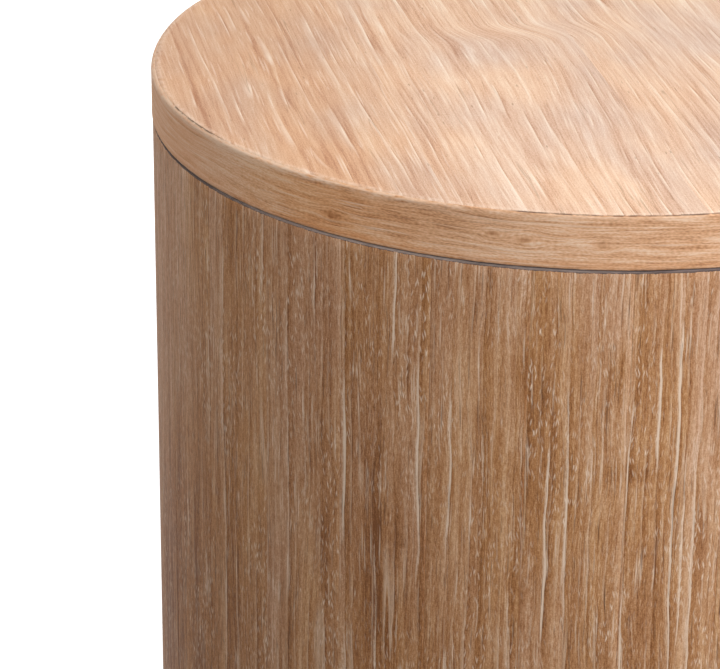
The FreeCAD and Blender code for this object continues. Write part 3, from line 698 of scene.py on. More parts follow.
def opened(angle):
    """How far the glue line has opened at an angle from the front, from 0 to 1."""
    share = 0
    for low, high, much in OPEN_GLUE_LINES:
        past = (angle - low) % 360
        if past <= high - low:
            share = max(share, much * ease(min(past, high - low - past) / OPEN_SLOPE))
    rough = 0.5 + ripples(angle, (0.5, 9, 2), (0.35, 60, 5))
    return max(0, share * (0.45 + 0.9 * rough) + 0.12 * rough)


def left_rim(angle):
    """How far a place round the rim belongs to its more worn stretch, left of the front."""
    return between(angle, *WORN_RIM)


def worn_arris(angle):
    """Radius of the upper arris, worn more in some places."""
    heavy = WORN_EXTRA * ease(1 - abs(wrapped(angle - WORN_ANGLE)) / WORN_REACH)
    uneven = ripples(angle, (ARRIS_WORN, 5, 1), (0.15 * MM, 40, 3))
    return TOP_ARRIS + ARRIS_WORN + LEFT_EXTRA * left_rim(angle) + heavy + uneven


def glue_line(angle):
    """Turn of the arris, from upright, at which the face veneer's underside comes out."""
    return math.acos(1 - (TOP_FACE - VENEER_UNDERSIDE) / worn_arris(angle))


def on_arris(angle, turn, sunk=0.0):
    """Radius and height of a point on the upper arris."""
    size = worn_arris(angle)
    reach = size - sunk
    return TOP_RADIUS - size + reach * math.sin(turn), TOP_FACE - size + reach * math.cos(turn)


def grain_axes(x, y):
    """Where a place on the face lies across and along its grain."""
    turn = math.radians(GRAIN_ANGLE)
    return -x * math.sin(turn) + y * math.cos(turn), x * math.cos(turn) + y * math.sin(turn)


def face_flow(x, y):
    """Where a place on the face lies across and along its grain, with wavering lines and a swirl."""
    across, along = grain_axes(x, y)
    side = (across - SWIRL["across"]) / SWIRL["width"]
    past = (along - SWIRL["along"]) / SWIRL["length"]
    bend = ease(past + 0.5) * ease(1 - (past - 0.5) / 8)
    across -= SWIRL["shift"] * bend * math.exp(-side * side)
    across += 2.6 * MM * waver(across * 9, along * 5, 6) + 0.5 * MM * waver(across * 30, along * 16, 2)
    return across, along


def face_relief(x, y):
    """How far the hand-finished face lies under its highest plane."""
    across, along = grain_axes(x, y)
    wide = waver(across * 22, along * 3, 4)
    narrow = waver(across * 85, along * 7, 8)
    return 0.09 * MM * (1 + wide) + 0.03 * MM * (1 + narrow)


def face_spot(ring, angle):
    """Radius, height, and wear with a painted highlight, of a point of the face's mesh."""
    flat = TOP_RADIUS - worn_arris(angle)
    rings = EVEN_RINGS + len(RIM_RINGS)
    if ring > rings:
        end = glue_line(angle) - GLUE_GAP * opened(angle) / worn_arris(angle)
        radius, height = on_arris(angle, end * (ring - rings) / ARRIS_STEPS)
        return radius, height - 0.2 * face_relief(*around(angle, TOP_RADIUS, 0)[:2]), 1
    if ring > EVEN_RINGS:
        radius = flat - RIM_RINGS[ring - EVEN_RINGS - 1]
    else:
        radius = (flat - EVEN_END) * ring / EVEN_RINGS
    x, y, _ = around(angle, radius, 0)
    height = TOP_FACE - face_relief(x, y) * ease((flat - radius) / (12 * MM) + 0.3)
    return radius, height, ease(1 - (flat - radius) / WEAR_HIGHLIGHT_REACH)


def face_disc():
    """The whole face before it is cut into leaves: its points, its faces and how much wear and painted
    highlight each point has.
    """
    rings, wear_and_highlights = [], []
    for ring in range(1, EVEN_RINGS + len(RIM_RINGS) + ARRIS_STEPS + 1):
        rings.append([])
        for step in range(ROUND_STEPS):
            angle = 360 * step / ROUND_STEPS
            radius, height, wear_and_highlight = face_spot(ring, angle)
            rings[-1].append(around(angle, radius, height))
            wear_and_highlights.append(wear_and_highlight)
    points, faces = skin(rings, closed=True, joined=False)
    centre = len(points)
    faces += [(centre, (step + 1) % ROUND_STEPS, step) for step in range(ROUND_STEPS)]
    return points + [(0, 0, TOP_FACE - face_relief(0, 0))], faces, wear_and_highlights + [0]


def cut_leaf(disc, place):
    """The mesh of one leaf: the part of the disc between two joints, with its edges and its underside."""
    sheet = bmesh.new()
    wear_highlight_layer = sheet.verts.layers.float.new("wear_and_highlight")
    points, faces, wear_and_highlights = disc
    corners = [sheet.verts.new(point) for point in points]
    for corner, wear_and_highlight in zip(corners, wear_and_highlights):
        corner[wear_highlight_layer] = wear_and_highlight
    for face in faces:
        sheet.faces.new([corners[corner] for corner in face])
    turn = math.radians(GRAIN_ANGLE)
    side = Vector((-math.sin(turn), math.cos(turn), 0))
    width = 2 * TOP_RADIUS / len(LEAF_NODES)
    for joint, sign in ((place, -1), (place + 1, 1)):
        if 0 < joint < len(LEAF_NODES):
            bmesh.ops.bisect_plane(
                sheet,
                geom=sheet.verts[:] + sheet.edges[:] + sheet.faces[:],
                plane_co=side * (joint * width - TOP_RADIUS),
                plane_no=side * sign,
                clear_outer=True,
            )
    rim = [edge for edge in sheet.edges if edge.is_boundary]
    lowered = bmesh.ops.extrude_edge_only(sheet, edges=rim)["geom"]
    for item in lowered:
        if isinstance(item, bmesh.types.BMVert):
            item.co.z = VENEER_UNDERSIDE
    bottom = [item for item in lowered if isinstance(item, bmesh.types.BMEdge)]
    bmesh.ops.contextual_create(sheet, geom=bottom)
    mesh = bpy.data.meshes.new("face_leaf")
    sheet.to_mesh(mesh)
    sheet.free()
    return mesh


def face_dirt(x, y):
    """How dark the veneer's edge is at a place, near an opened glue line."""
    angle = front_angle(x, y)
    edge, _ = on_arris(angle, glue_line(angle))
    near = 1 - (edge - math.hypot(x, y)) / DIRT_REACH
    return min(0.8, max(0, near) * opened(angle))


def make_face_leaves(material):
    """The four leaves of face veneer, cut from one slightly uneven disc with a worn arris."""
    disc = face_disc()
    for place, node in enumerate(LEAF_NODES):
        piece = new_object(f"face_leaf_{place + 1}", cut_leaf(disc, place))
        tidy_mesh(piece, 50)
        spots = [(vertex.co.x, vertex.co.y) for vertex in piece.data.vertices]
        axes = [grain_axes(*spot) for spot in spots]
        add_grain_map(piece, [face_flow(*spot) for spot in spots])
        add_values(
            piece,
            board=[place * LEAF_SHIFT] * len(spots),
            dirt=[face_dirt(*spot) for spot in spots],
            # Painted shade on the left of the face, then painted light on its back right.
            warm=[ease((-0.09 - across) / 0.13) for across, _ in axes],
            faded=[ease((across - 0.02) / 0.1) * ease(-along / 0.1) for across, along in axes],
        )
        finish_piece(piece, "table", "face_veneer", [material], node)


def band_section(angle):
    """The edge band's section at an angle: a loop of radius, height, dirt, and wear with a painted highlight.
    """
    low_ease = LOWER_ARRIS * (1.1 + ripples(angle, (0.5, 7, 6), (0.25, 45, 9)))
    open_share = opened(angle)
    worn = held(0.3 + 0.7 * left_rim(angle) + ripples(angle, (0.8, 14, 7)))
    size = worn_arris(angle)
    low, high = TOP_UNDERSIDE + low_ease, TOP_FACE - size
    loop = [(CORE_RADIUS, TOP_UNDERSIDE, 0, 0)]
    for radius, height in corner_arc(TOP_RADIUS - low_ease, low, low_ease, -90, 0, 4):
        loop.append((radius, height, 0, 0.3))
    for row in range(1, BAND_ROWS):
        height = blend(low, high, row / BAND_ROWS)
        hollow = BAND_HOLLOW * (0.75 + ripples(angle, (0.5, 9, height * 60), (0.25, 30, height * 220)))
        hollow *= ease(6 * min(row, BAND_ROWS - row) / BAND_ROWS)
        wear_and_highlight = ease(1 - (high - height) / WEAR_HIGHLIGHT_REACH) * worn
        loop.append((TOP_RADIUS - hollow, height, 0, wear_and_highlight))
    start = glue_line(angle)
    for step in range(ARRIS_STEPS + 1):
        turn = blend(math.pi / 2, start, step / ARRIS_STEPS)
        radius, height = on_arris(angle, turn, 0.05 * MM * open_share)
        near = max(0, 1 - (turn - start) * size / DIRT_REACH)
        loop.append((radius, height, min(0.85, near * open_share), worn))
    ledge, _ = on_arris(angle, start)
    ledge_dirt = min(0.95, 1.3 * open_share)
    loop.append((ledge - GLUE_GAP * 1.5, VENEER_UNDERSIDE - 0.25 * MM * open_share, ledge_dirt, 1))
    loop.append((CORE_RADIUS, VENEER_UNDERSIDE - 0.02 * MM, 0, 0))
    return loop


def band_calm(angle):
    """How much the band's grain is calmed at an angle from the front."""
    return between(angle, *CALM_BAND)


def band_tone(angle):
    """How pale the band is at an angle from the front."""
    general = ripples(angle, (0.8, 3, 4))
    return general + 1.4 * between(angle, *PALE_BAND) + 0.7 * ease((16 - abs(angle)) / 12)


def band_figure(angle, height):
    """How far the lines of the band are pushed up by its knots, and how near a knot is, from 0 to 1."""
    push, nearest = 0, 0
    for place, level, reach in BAND_KNOTS:
        size = reach * MM
        side = math.radians(wrapped(angle - place)) * TOP_RADIUS / size
        rise = (height - TOP_UNDERSIDE) / size - level / reach
        push -= 0.85 * rise * size * math.exp(-side * side / 4 - rise * rise)
        nearest = max(nearest, math.exp(-2 * side * side - 6 * rise * rise))
    return push + ripples(angle, (1.3 * MM, 3, height * 25), (0.5 * MM, 10, height * 70)), nearest


def make_edge_bands(material):
    """The three bent strips of the rim, slightly uneven, with worn arrises."""
    span = 360 / len(BAND_NODES)
    for place, node in enumerate(BAND_NODES):
        first = FRONT - (FIRST_BAND_JOINT + place * span)
        angles = [wrapped(first - span * step / BAND_STEPS) for step in range(BAND_STEPS + 1)]
        sections = [band_section(angle) for angle in angles]
        rings = [[around(angle, *spot[:2]) for spot in loop] for angle, loop in zip(angles, sections)]
        piece = make_object(f"edge_band_{place + 1}", *capped(rings))
        grain, values = [], {"dirt": [], "wear_and_highlight": [], "warm": [], "tone": [], "calm": []}
        for step, (angle, loop) in enumerate(zip(angles, sections)):
            along = math.radians(span * step / BAND_STEPS) * TOP_RADIUS + place * BAND_SHIFT
            for _, height, dirt, wear_and_highlight in loop:
                push, near = band_figure(angle, height)
                grain.append((height + push, along))
                values["dirt"].append(dirt)
                values["wear_and_highlight"].append(wear_and_highlight)
                values["warm"].append(ease(1 - abs(angle - WARM_ANGLE) / WARM_REACH))
                values["tone"].append(band_tone(angle) - KNOT_TONE * near)
                values["calm"].append(band_calm(angle))
        add_grain_map(piece, grain)
        add_values(piece, **values)
        finish_piece(piece, "table", "edge_band", [material], node)


def make_reveal(material):
    """The painted spacer, with a slightly uneven wall at the bottom of the groove."""
    outer = DRUM_RADIUS - REVEAL_DEPTH
    rings = []
    for step in range(ROUND_STEPS):
        angle = 360 * step / ROUND_STEPS
        uneven = ripples(angle, (0.15 * MM, 12, 3), (0.08 * MM, 70, 1))
        loop = [(RING_HOLE, DRUM_TOP), (outer + uneven, DRUM_TOP)]
        loop += [(outer + 1.4 * uneven, blend(DRUM_TOP, TOP_UNDERSIDE, 0.5))]
        loop += [(outer + uneven, TOP_UNDERSIDE), (RING_HOLE, TOP_UNDERSIDE)]
        rings.append([around(angle, radius, height) for radius, height in loop])
    piece = make_object("reveal_spacer", *skin(rings, closed=True, joined=True))
    finish_piece(piece, "table", "reveal_paint", [material], "reveal_ring")


# Drum

# Long pale lines that the photograph shows: angle from the front, strength, lower and upper end.
PALE_LINES = [
    (67, 0.25, 0, 0.6), (59.5, 0.2, 0, 0.6), (55, 0.2, 0, 0.5), (50.1, 0.35, 0, 0.6),
    (47.4, 0.5, 0, 0.44), (43.2, 0.3, 0.1, 0.5), (37.4, 0.5, 0.25, 0.47), (35, 0.5, 0.36, 0.46),
    (32.2, 0.35, 0, 0.52), (28.8, 0.9, 0, 0.5), (24.2, 0.6, 0, 0.46), (21.6, 0.7, 0.49, 0.6),
    (18.5, 0.85, 0, 0.51), (14.6, 0.6, 0.2, 0.5), (13.4, 0.45, 0.2, 0.46), (10.8, 0.75, 0, 0.47),
    (8.9, 0.8, 0.47, 0.56), (6.9, 0.4, 0.1, 0.36), (6, 1, 0, 0.47), (4.2, 0.5, 0.3, 0.5),
    (2.6, 0.9, 0.3, 0.55), (0.4, 0.7, 0, 0.5), (-2.6, 0.85, 0, 0.46), (-5.1, 0.45, 0.2, 0.45),
    (-7.2, 0.8, 0, 0.5), (-10.3, 1, 0, 0.53), (-12.8, 0.95, 0, 0.56), (-14.2, 0.5, 0.3, 0.46),
    (-15.4, 0.7, 0, 0.5),
]
LINES_SHOWN = (-18, 77)
# Darker (negative) and paler patches: angle from the front, height, half width, half height, amount.
PATCHES = [
    (5.5, 0.503, 1.4, 0.015, -2.2), (-6.8, 0.434, 2.6, 0.006, -2.4), (-4.6, 0.5, 0.5, 0.016, -3.0),
    (-5.6, 0.505, 0.35, 0.02, -3.4), (33, 0.44, 2.5, 0.06, -1.2), (14, 0.36, 2, 0.05, 1),
    (66, 0.2, 17, 0.13, -2.8), (62, 0.56, 12, 0.1, 1), (-17, 0.42, 3.5, 0.3, 1.5),
    (-2.5, 0.33, 2.4, 0.05, -0.9), (24, 0.3, 2, 0.05, -0.9), (-15, 0.46, 2, 0.04, 0.9),
    (3.5, 0.42, 5, 0.08, -1.6), (16, 0.55, 4, 0.04, -0.8), (15, 0.27, 4, 0.06, -0.8),
    (-13, 0.55, 3, 0.04, 1.3), (140, 0.3, 5, 0.08, -1.4), (205, 0.42, 3, 0.04, -1.6),
    (262, 0.25, 6, 0.07, -1.0), (310, 0.4, 3, 0.05, -1.5),
]
PATCH_END = 2.5
# Painted shade: heights under which the drum is darker, with the height over which it becomes so, and how
# much.
PAINTED_SHADE_BELOW = [(0.2, 0.2, 0.9), (0.47, 0.14, 0.5)]
# The stretch of the drum with a painted bluish sheen, as for the rim, and the middle and reach of the golden
# one.
SHEEN_DRUM = (50, 22, 130, 30)
GOLDEN_ANGLE, GOLDEN_REACH = 10, 17
# Widths over which a pale line comes in and goes out, and the length over which it fades at its ends.
LINE_RISE = 2.2 * MM
LINE_FALL = 0.4 * MM
LINE_END = 30 * MM
# The wood is darker past a pale line and paler before it: over which width, and how much.
DARK_SIDE, DARK_TONE = 7 * MM, 1.6
PALE_SIDE, PALE_TONE = 5 * MM, 1.2
COLUMN_SPACING = 3 * MM
EDGE_COLUMN = 0.5 * MM
ROW_SPACING = 6 * MM
LEAST_SPACING = 0.15 * MM
JOINT_EASE, JOINT_REACH = 0.22 * MM, 0.9 * MM
HEAD_REACH = 1.6 * HEAD_CHAMFER
STAVE_SHIFT = 0.37
# Half a stave in degrees, the length of one degree on the drum, and half a stave's width.
HALF_TURN = 180 / len(STAVE_NODES)
DEGREE = math.radians(1) * DRUM_RADIUS
HALF_WIDTH = HALF_TURN * DEGREE
# Distance of a stave's back corners and of the middle of its joint faces from the table's axis.
BACK_CORNER = (DRUM_RADIUS - STAVE_THICKNESS) / math.cos(math.radians(HALF_TURN))
JOINT_MIDDLE = (DRUM_RADIUS + BACK_CORNER) / 2


def patch_tone(angle, height):
    """How much darker or paler the wood of the drum is at a place; darker towards the foot is painted shade.
    """
    tone = -sum(amount * ease((level - height) / slope) for level, slope, amount in PAINTED_SHADE_BELOW)
    for place, level, wide, tall, amount in PATCHES:
        side = wrapped(angle - place) / wide
        rise = (height - level) / tall
        if abs(side) < PATCH_END and abs(rise) < PATCH_END:
            rough = 1 + 0.5 * waver(angle * 0.9, height * 60)
            tone += amount * rough * math.exp(-side * side - rise * rise)
    return tone


def coolness(angle):
    """How bluish (positive, a painted sheen on the drum's left side) or golden the drum is at an angle from
    the front.
    """
    return 1.3 * between(angle, *SHEEN_DRUM) - 0.35 * ease(1 - abs(angle - GOLDEN_ANGLE) / GOLDEN_REACH)


def stave_lines(middle, dice):
    """Pale lines of the stave whose middle is at an angle: place across, strength, ends and seed."""
    lines = []
    if LINES_SHOWN[0] < middle < LINES_SHOWN[1]:
        for angle, strength, low, high in PALE_LINES:
            if abs(angle - middle) < HALF_TURN - 0.5:
                lines.append(((middle - angle) * DEGREE, strength, low, high))
    else:
        for _ in range(dice.choice((2, 3, 3, 4))):
            place = dice.uniform(-0.92, 0.92) * HALF_WIDTH
            if all(abs(place - other[0]) > 5 * MM for other in lines):
                low = dice.choice((0, 0, dice.uniform(0.05, 0.35)))
                high = dice.choice((0.6, dice.uniform(0.35, 0.6)))
                lines.append((place, dice.uniform(0.2, 0.9), low, high))
    return [(place, strength, low, high, dice.uniform(0, 90)) for place, strength, low, high in sorted(lines)]


def line_sway(line, height):
    """How far a pale line strays sideways at a height."""
    seed = line[4]
    broad = 3.0 * MM * waver(height * 7, seed) + 1.8 * MM * waver(height * 19, seed + 7)
    return broad + 0.6 * MM * waver(height * 60, seed)


def line_strength(line, height):
    """How strong a pale line is at a height: patchy, and fading at its ends."""
    _, strength, low, high, seed = line
    patchy = 0.5 + 1.4 * waver(height * 10, seed + 3) + 0.5 * waver(height * 28, seed + 3)
    return strength * between(height, low, LINE_END, high, LINE_END) * held(patchy)


def stave_heights():
    """Heights of the rows of a stave's mesh, close together at its foot and its head."""
    low, high = DRUM_FOOT + FOOT_CHAMFER, DRUM_TOP - HEAD_REACH
    rows = round((high - low) / ROW_SPACING)
    middle = [blend(low, high, row / rows) for row in range(rows + 1)]
    return [DRUM_FOOT, DRUM_FOOT + FOOT_CHAMFER / 2] + middle + [DRUM_TOP - HEAD_CHAMFER / 2, DRUM_TOP]


def stave_columns(stops, tones):
    """Columns of a stave's mesh between its joints and its pale lines.

    Each has its place, its stretch, its share of the way through that, its part of a line and its tone.
    """
    last = len(tones) - 1
    columns = [(-HALF_WIDTH, 0, 0, 0, tones[0]), (-HALF_WIDTH + EDGE_COLUMN, 0, 0, 0, tones[0])]
    for stretch in range(last + 1):
        (start, before), (end, after) = stops[stretch][:2], stops[stretch + 1][:2]
        low = start + (LINE_FALL if stretch else JOINT_REACH)
        high = end - (LINE_RISE if stretch < last else JOINT_REACH)
        count = max(1, math.ceil((high - low) / COLUMN_SPACING))
        spots = [(blend(low, high, step / count), 0) for step in range(count + 1)]
        if stretch < last:
            spots += [(end - LINE_RISE / 2, 0.35), (end, 1)]
        for place, level in spots:
            tone = tones[stretch] - DARK_TONE * before * max(0, 1 - (place - start) / DARK_SIDE)
            tone += PALE_TONE * after * max(0, 1 - (end - place) / PALE_SIDE)
            columns.append((place, stretch, (place - start) / (end - start), level, tone))
    for place in (HALF_WIDTH - EDGE_COLUMN, HALF_WIDTH):
        columns.append((place, last, 1, 0, tones[-1]))
    return columns


def face_drop(here, place, height, tone, index, middle):
    """How far a stave's face lies inside the drum's radius: uneven, and eased at its joints and ends."""
    drop = 0.06 * MM * (1 + waver(here * 60 + index * 9, height * 6)) + 0.03 * MM * (1 + tone * 0.5)
    drop += 0.03 * MM * (1 + waver(here * 220 + index * 5, height * 12))
    joint_ease = JOINT_EASE * (1 + 0.8 * waver(height * 9, middle + (place > 0) * 12))
    drop += joint_ease * max(0, 1 - (HALF_WIDTH - abs(place)) / JOINT_REACH)
    head_ease = HEAD_CHAMFER * (1 + 0.5 * waver(here * 90, middle) + 0.3 * waver(here * 400, middle))
    head = head_ease * max(0, 1 - (DRUM_TOP - height) / HEAD_REACH)
    return max(0, drop, head, FOOT_CHAMFER - (height - DRUM_FOOT))


def joint_side(centre_turn, side):
    """Plan of a stave's joint face, with its groove, to the corner of its back; side is 1 or -1."""
    turn = math.radians(centre_turn + side * HALF_TURN)
    out = Vector((math.cos(turn), math.sin(turn), 0))
    into = Vector((-out.y, out.x, 0)) * -side * GROOVE_DEPTH
    far, near = out * (JOINT_MIDDLE + GROOVE_WIDTH / 2), out * (JOINT_MIDDLE - GROOVE_WIDTH / 2)
    return [far, far + into, near + into, near, out * BACK_CORNER]


def make_stave(index, node, wood, paint):
    """One stave: hand-finished face, eased joints, grooves for tongues and a painted head."""
    dice = random.Random(index * 17 + 5)
    centre_turn = FIRST_JOINT + (2 * index + 1) * HALF_TURN
    middle = wrapped(FRONT - centre_turn)
    stops = [(-HALF_WIDTH, 0), *stave_lines(middle, dice), (HALF_WIDTH, 0)]
    board_tone = dice.uniform(-0.4, 0.4)
    tones = [board_tone + dice.uniform(-0.8, 0.8) for _ in stops[:-1]]
    columns = stave_columns(stops, tones)
    back = [(point, 1) for point in joint_side(centre_turn, 1)]
    back += [(point, -1) for point in reversed(joint_side(centre_turn, -1))]

    rings, grain, tone_values, line_values = [], [], [], []
    for height in stave_heights():
        sways = [0, *(line_sway(line, height) for line in stops[1:-1]), 0]
        ring = []
        last = -math.inf
        for place, stretch, share, level, tone in columns:
            here = place + blend(sways[stretch], sways[stretch + 1], share)
            here = min(max(here, last + LEAST_SPACING), HALF_WIDTH)
            last = here
            turn = math.radians(centre_turn) + here / DRUM_RADIUS
            radius = DRUM_RADIUS - face_drop(here, place, height, tone, index, middle)
            ring.append((radius * math.cos(turn), radius * math.sin(turn), height))
            grain.append((place - middle * DEGREE, height))
            tone_values.append(tone + patch_tone(middle - here / DEGREE, height))
            line_values.append(level * line_strength(stops[stretch + 1], height) if level else 0)
        for point, side in back:
            ring.append((point.x, point.y, height))
            grain.append((side * (HALF_WIDTH + DRUM_RADIUS - point.length) - middle * DEGREE, height))
            tone_values.append(0)
            line_values.append(0)
        rings.append(ring)

    points, faces = capped(rings)
    piece = make_object(f"drum_stave_{index + 1:02d}", points, faces)
    add_grain_map(piece, grain)
    cool_values = [coolness(front_angle(x, y)) for x, y, _ in points]
    board_values = [index * STAVE_SHIFT] * len(points)
    add_values(piece, tone=tone_values, line=line_values, cool=cool_values, board=board_values)
    finish_piece(piece, "table", "drum_wood", [wood, paint], node)
    for polygon in piece.data.polygons:
        if polygon.center.z > DRUM_TOP - 0.1 * MM:
            polygon.material_index = 1


# Feet

STEM_RADIUS = 4 * MM
STEM_CHAMFER = 0.4 * MM
TIP_CHAMFER = 0.8 * MM
SOCKET_RADIUS = 4.05 * MM
THREAD_ROOT = 3.35 * MM
THREAD_PITCH = 1.25 * MM
THREAD_ROWS = 8
THREAD_TURNS = range(0, 360, 10)
HEXAGON_FLAT = 6.5 * MM
HEXAGON_CUT = 6.9 * MM
HEXAGON_CHAMFER = 0.5 * MM
COLLAR_GAP = 0.3 * MM
FLANGE_RADIUS = 11 * MM
FLANGE_THICKNESS = 1.5 * MM
FLANGE_EASE = 0.4 * MM
BARREL_RADIUS = 5.35 * MM
PAD_LOWER_EASE, PAD_UPPER_EASE = 0.8 * MM, 2.5 * MM
PAD_STEPS = 72
INSERT_STEPS = 60


def round_ring(middle, radii, height):
    """A level loop round a foot's axis; radii holds its radius at each of its evenly spaced points."""
    start = math.atan2(middle.y, middle.x)
    ring = []
    for step, radius in enumerate(radii):
        turn = start + math.tau * step / len(radii)
        ring.append((middle.x + radius * math.cos(turn), middle.y + radius * math.sin(turn), height))
    return ring


def make_pad(number, plastic):
    """A foot pad with rounded edges, a hollow under its middle and a groove round its upper side."""
    node = f"leveller_pad_{number}"
    low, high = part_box(node)
    radius, top = (high.x - low.x) / 2, high.z
    profile = [(3 * MM, 0.5 * MM), (7 * MM, 0.5 * MM), (7.6 * MM, 0)]
    profile += corner_arc(radius - PAD_LOWER_EASE, PAD_LOWER_EASE, PAD_LOWER_EASE, -90, 0)
    profile += corner_arc(radius - PAD_UPPER_EASE, top - PAD_UPPER_EASE, PAD_UPPER_EASE, 0, 90)
    profile += [(14 * MM, top), (13.6 * MM, top - 0.5 * MM), (10.4 * MM, top - 0.5 * MM), (10 * MM, top)]
    profile += [(SOCKET_RADIUS + 0.3 * MM, top), (SOCKET_RADIUS, top - 0.3 * MM)]
    profile += [(SOCKET_RADIUS, lowest(f"leveller_stem_{number}"))]
    rings = [round_ring((low + high) / 2, [reach] * PAD_STEPS, height) for reach, height in profile]
    piece = make_object(f"foot_pad_{number}", *capped(rings), 50)
    finish_piece(piece, f"leveller_{number}", "nylon", [plastic], node)


def hexagon(turn, most):
    """Radius of the collar at an angle in degrees from a corner, held to a cone that cuts its corners."""
    return min(HEXAGON_FLAT / math.cos(math.radians((turn % 60) - 30)), most)


def thread_radius(height, turn):
    """Radius of the helical thread at a height, at an angle in degrees."""
    share = (height / THREAD_PITCH - turn / 360) % 1
    return blend(THREAD_ROOT, STEM_RADIUS, held(1.35 * (1 - abs(2 * share - 1)) - 0.15))


def make_stem(number, steel):
    """A threaded stem with the hexagon that a spanner turns."""
    node = f"leveller_stem_{number}"
    low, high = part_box(node)
    collar, collar_top = highest(f"leveller_pad_{number}"), FORMER_UNDERSIDE - COLLAR_GAP
    shank = [(low.z, STEM_RADIUS - STEM_CHAMFER), (low.z + STEM_CHAMFER, STEM_RADIUS), (collar, STEM_RADIUS)]
    levels = [(height, [radius] * len(THREAD_TURNS)) for height, radius in shank]
    nut = [(collar, HEXAGON_CUT), (collar + HEXAGON_CHAMFER, math.inf)]
    nut += [(collar_top - HEXAGON_CHAMFER, math.inf), (collar_top, HEXAGON_CUT)]
    levels += [(height, [hexagon(turn, most) for turn in THREAD_TURNS]) for height, most in nut]
    rows = round((high.z - collar_top) / THREAD_PITCH * THREAD_ROWS)
    for row in range(rows + 1):
        height = blend(collar_top, high.z, row / rows)
        most = STEM_RADIUS - TIP_CHAMFER + high.z - height
        levels.append((height, [min(thread_radius(height, turn), most) for turn in THREAD_TURNS]))
    rings = [round_ring((low + high) / 2, radii, height) for height, radii in levels]
    piece = make_object(f"foot_stem_{number}", *capped(rings), 28)
    finish_piece(piece, f"leveller_{number}", "zinc_steel", [steel], node)


def make_inserts(steel):
    """The flanged inserts in the bottom former, one for each foot."""
    top = highest("leveller_inserts")
    flange_top = FORMER_UNDERSIDE + FLANGE_THICKNESS
    eased = FORMER_UNDERSIDE + FLANGE_EASE
    profile = [(SOCKET_RADIUS + FLANGE_EASE, FORMER_UNDERSIDE)]
    profile += corner_arc(FLANGE_RADIUS - FLANGE_EASE, eased, FLANGE_EASE, -90, 0, 3)
    profile += [(FLANGE_RADIUS, flange_top), (BARREL_RADIUS, flange_top), (BARREL_RADIUS, top)]
    profile += [(SOCKET_RADIUS, top), (SOCKET_RADIUS, eased)]
    all_points, all_faces = [], []
    for number in FEET:
        low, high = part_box(f"leveller_pad_{number}")
        rings = [round_ring((low + high) / 2, [reach] * INSERT_STEPS, height) for reach, height in profile]
        points, faces = skin(rings, closed=True, joined=True)
        all_faces += [tuple(corner + len(all_points) for corner in face) for face in faces]
        all_points += points
    piece = make_object("foot_inserts", all_points, all_faces)
    finish_piece(piece, "table", "zinc_steel", [steel], "leveller_inserts")


# Hidden pieces


def dress(material, *nodes):
    """Give CAD nodes a material."""
    for name in nodes:
        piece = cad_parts[name]
        for slot in piece.material_slots:
            slot.material = material
        if not piece.material_slots:
            piece.data.materials.append(material)


# Stage

FLOOR_HEIGHT = -0.2 * MM
FLOOR_RADII = (0.01, 1, 3, 12)
FLOOR_ANGLES = range(0, 360, 6)
WORLD_LIGHT = 0.36
# Lamps: name, place, height of the point on the table's axis that it faces, size and power.
LAMPS = [
    ("key", (1.04, -1.04, 1.3), 0.45, (1.6, 1.6), 25),
    ("back", (0.75, 1.9, 0.75), 0.4, (1.6, 1.2), 24),
    ("left", (-0.65, -0.38, 1.75), 0.45, (1, 1), 7.5),
]


def make_floor():
    """The floor, which isn't part of the table."""
    rings = [[around(angle, radius, FLOOR_HEIGHT) for angle in FLOOR_ANGLES] for radius in FLOOR_RADII]
    points, faces = skin(rings, closed=True, joined=False)
    faces.append(tuple(range(len(FLOOR_ANGLES))))
    floor = make_object("floor", points, faces)
    floor.data.materials.append(floor_paint())


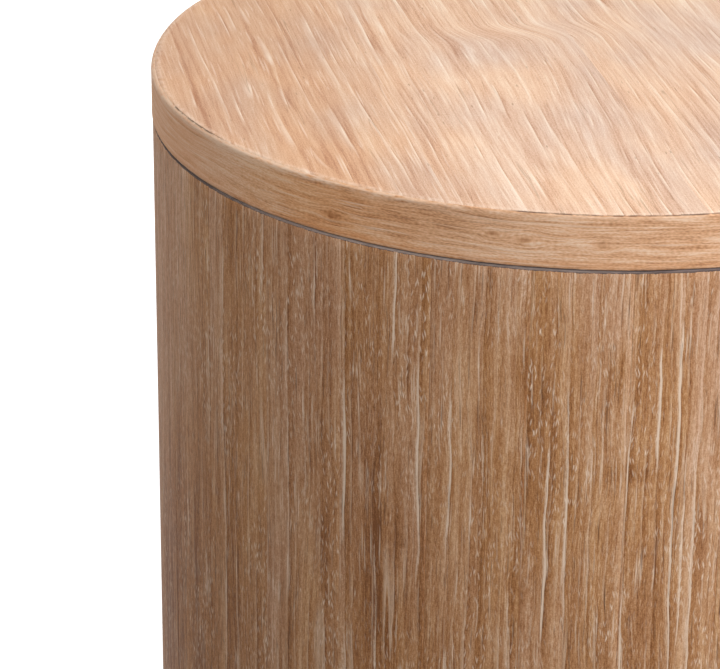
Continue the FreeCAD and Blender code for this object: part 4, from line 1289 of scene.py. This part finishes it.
def make_light(name, place, target_height, size, power):
    """A large soft lamp that faces a point on the table's axis."""
    lamp = bpy.data.lights.new(name, "AREA")
    lamp.shape = "RECTANGLE"
    lamp.size, lamp.size_y = size
    lamp.energy = power
    light = new_object(name, lamp)
    light.location = place
    light.visible_camera = False
    aim = Vector((0, 0, target_height)) - Vector(place)
    light.rotation_euler = aim.to_track_quat("-Z", "Y").to_euler()


def make_world():
    """Even light from all round, and white where a camera, gloss or glass sees it."""
    world = bpy.data.worlds.new("studio")
    bpy.context.scene.world = world
    tree = Tree(world)
    strength = tree.span(tree.seen(), 0, 1, WORLD_LIGHT, 1)
    glow = tree.add("Background", {"Color": (1, 1, 1, 1), "Strength": strength})
    tree.add("OutputWorld", {0: glow.outputs[0]})


def make_camera():
    """The camera, at the photograph's viewing angle."""
    lens = bpy.data.cameras.new("camera")
    lens.lens = CAMERA_LENS
    lens.sensor_width = CAMERA_SENSOR
    camera = new_object("camera", lens)
    pose = Matrix.Translation(CAMERA_PLACE)
    for angle, axis in ((-CAMERA_YAW, "Z"), (90 - CAMERA_PITCH, "X"), (CAMERA_ROLL, "Z")):
        pose = pose @ Matrix.Rotation(math.radians(angle), 4, axis)
    camera.matrix_world = pose
    bpy.context.scene.camera = camera


bpy.context.scene.view_settings.view_transform = "Standard"
make_camera()
make_floor()
make_world()
for lamp in LAMPS:
    make_light(*lamp)

drum_material, paint_material = drum_wood(), reveal_paint()
make_face_leaves(face_wood())
make_edge_bands(band_wood())
make_reveal(paint_material)
for index, node in enumerate(STAVE_NODES):
    make_stave(index, node, drum_material, paint_material)

balance_veneer = plain_wood("balance_veneer", (60, 6, 60), (176, 136, 98), (200, 164, 126), (218, 188, 152))
softwood = plain_wood("softwood", (60, 60, 14), (188, 146, 98), (214, 178, 130), (230, 202, 160))
steel, plastic = zinc_steel(), nylon()
dress(fibreboard(), "top_core", "top_build_up_ring")
dress(balance_veneer, "top_balance_veneer")
dress(plywood(), "top_former", "bottom_former")
dress(softwood, "stave_tongues", "upper_glue_blocks", "lower_glue_blocks", "top_dowels")
dress(steel, "top_screws")
make_inserts(steel)
for number in FEET:
    make_stem(number, steel)
    make_pad(number, plastic)
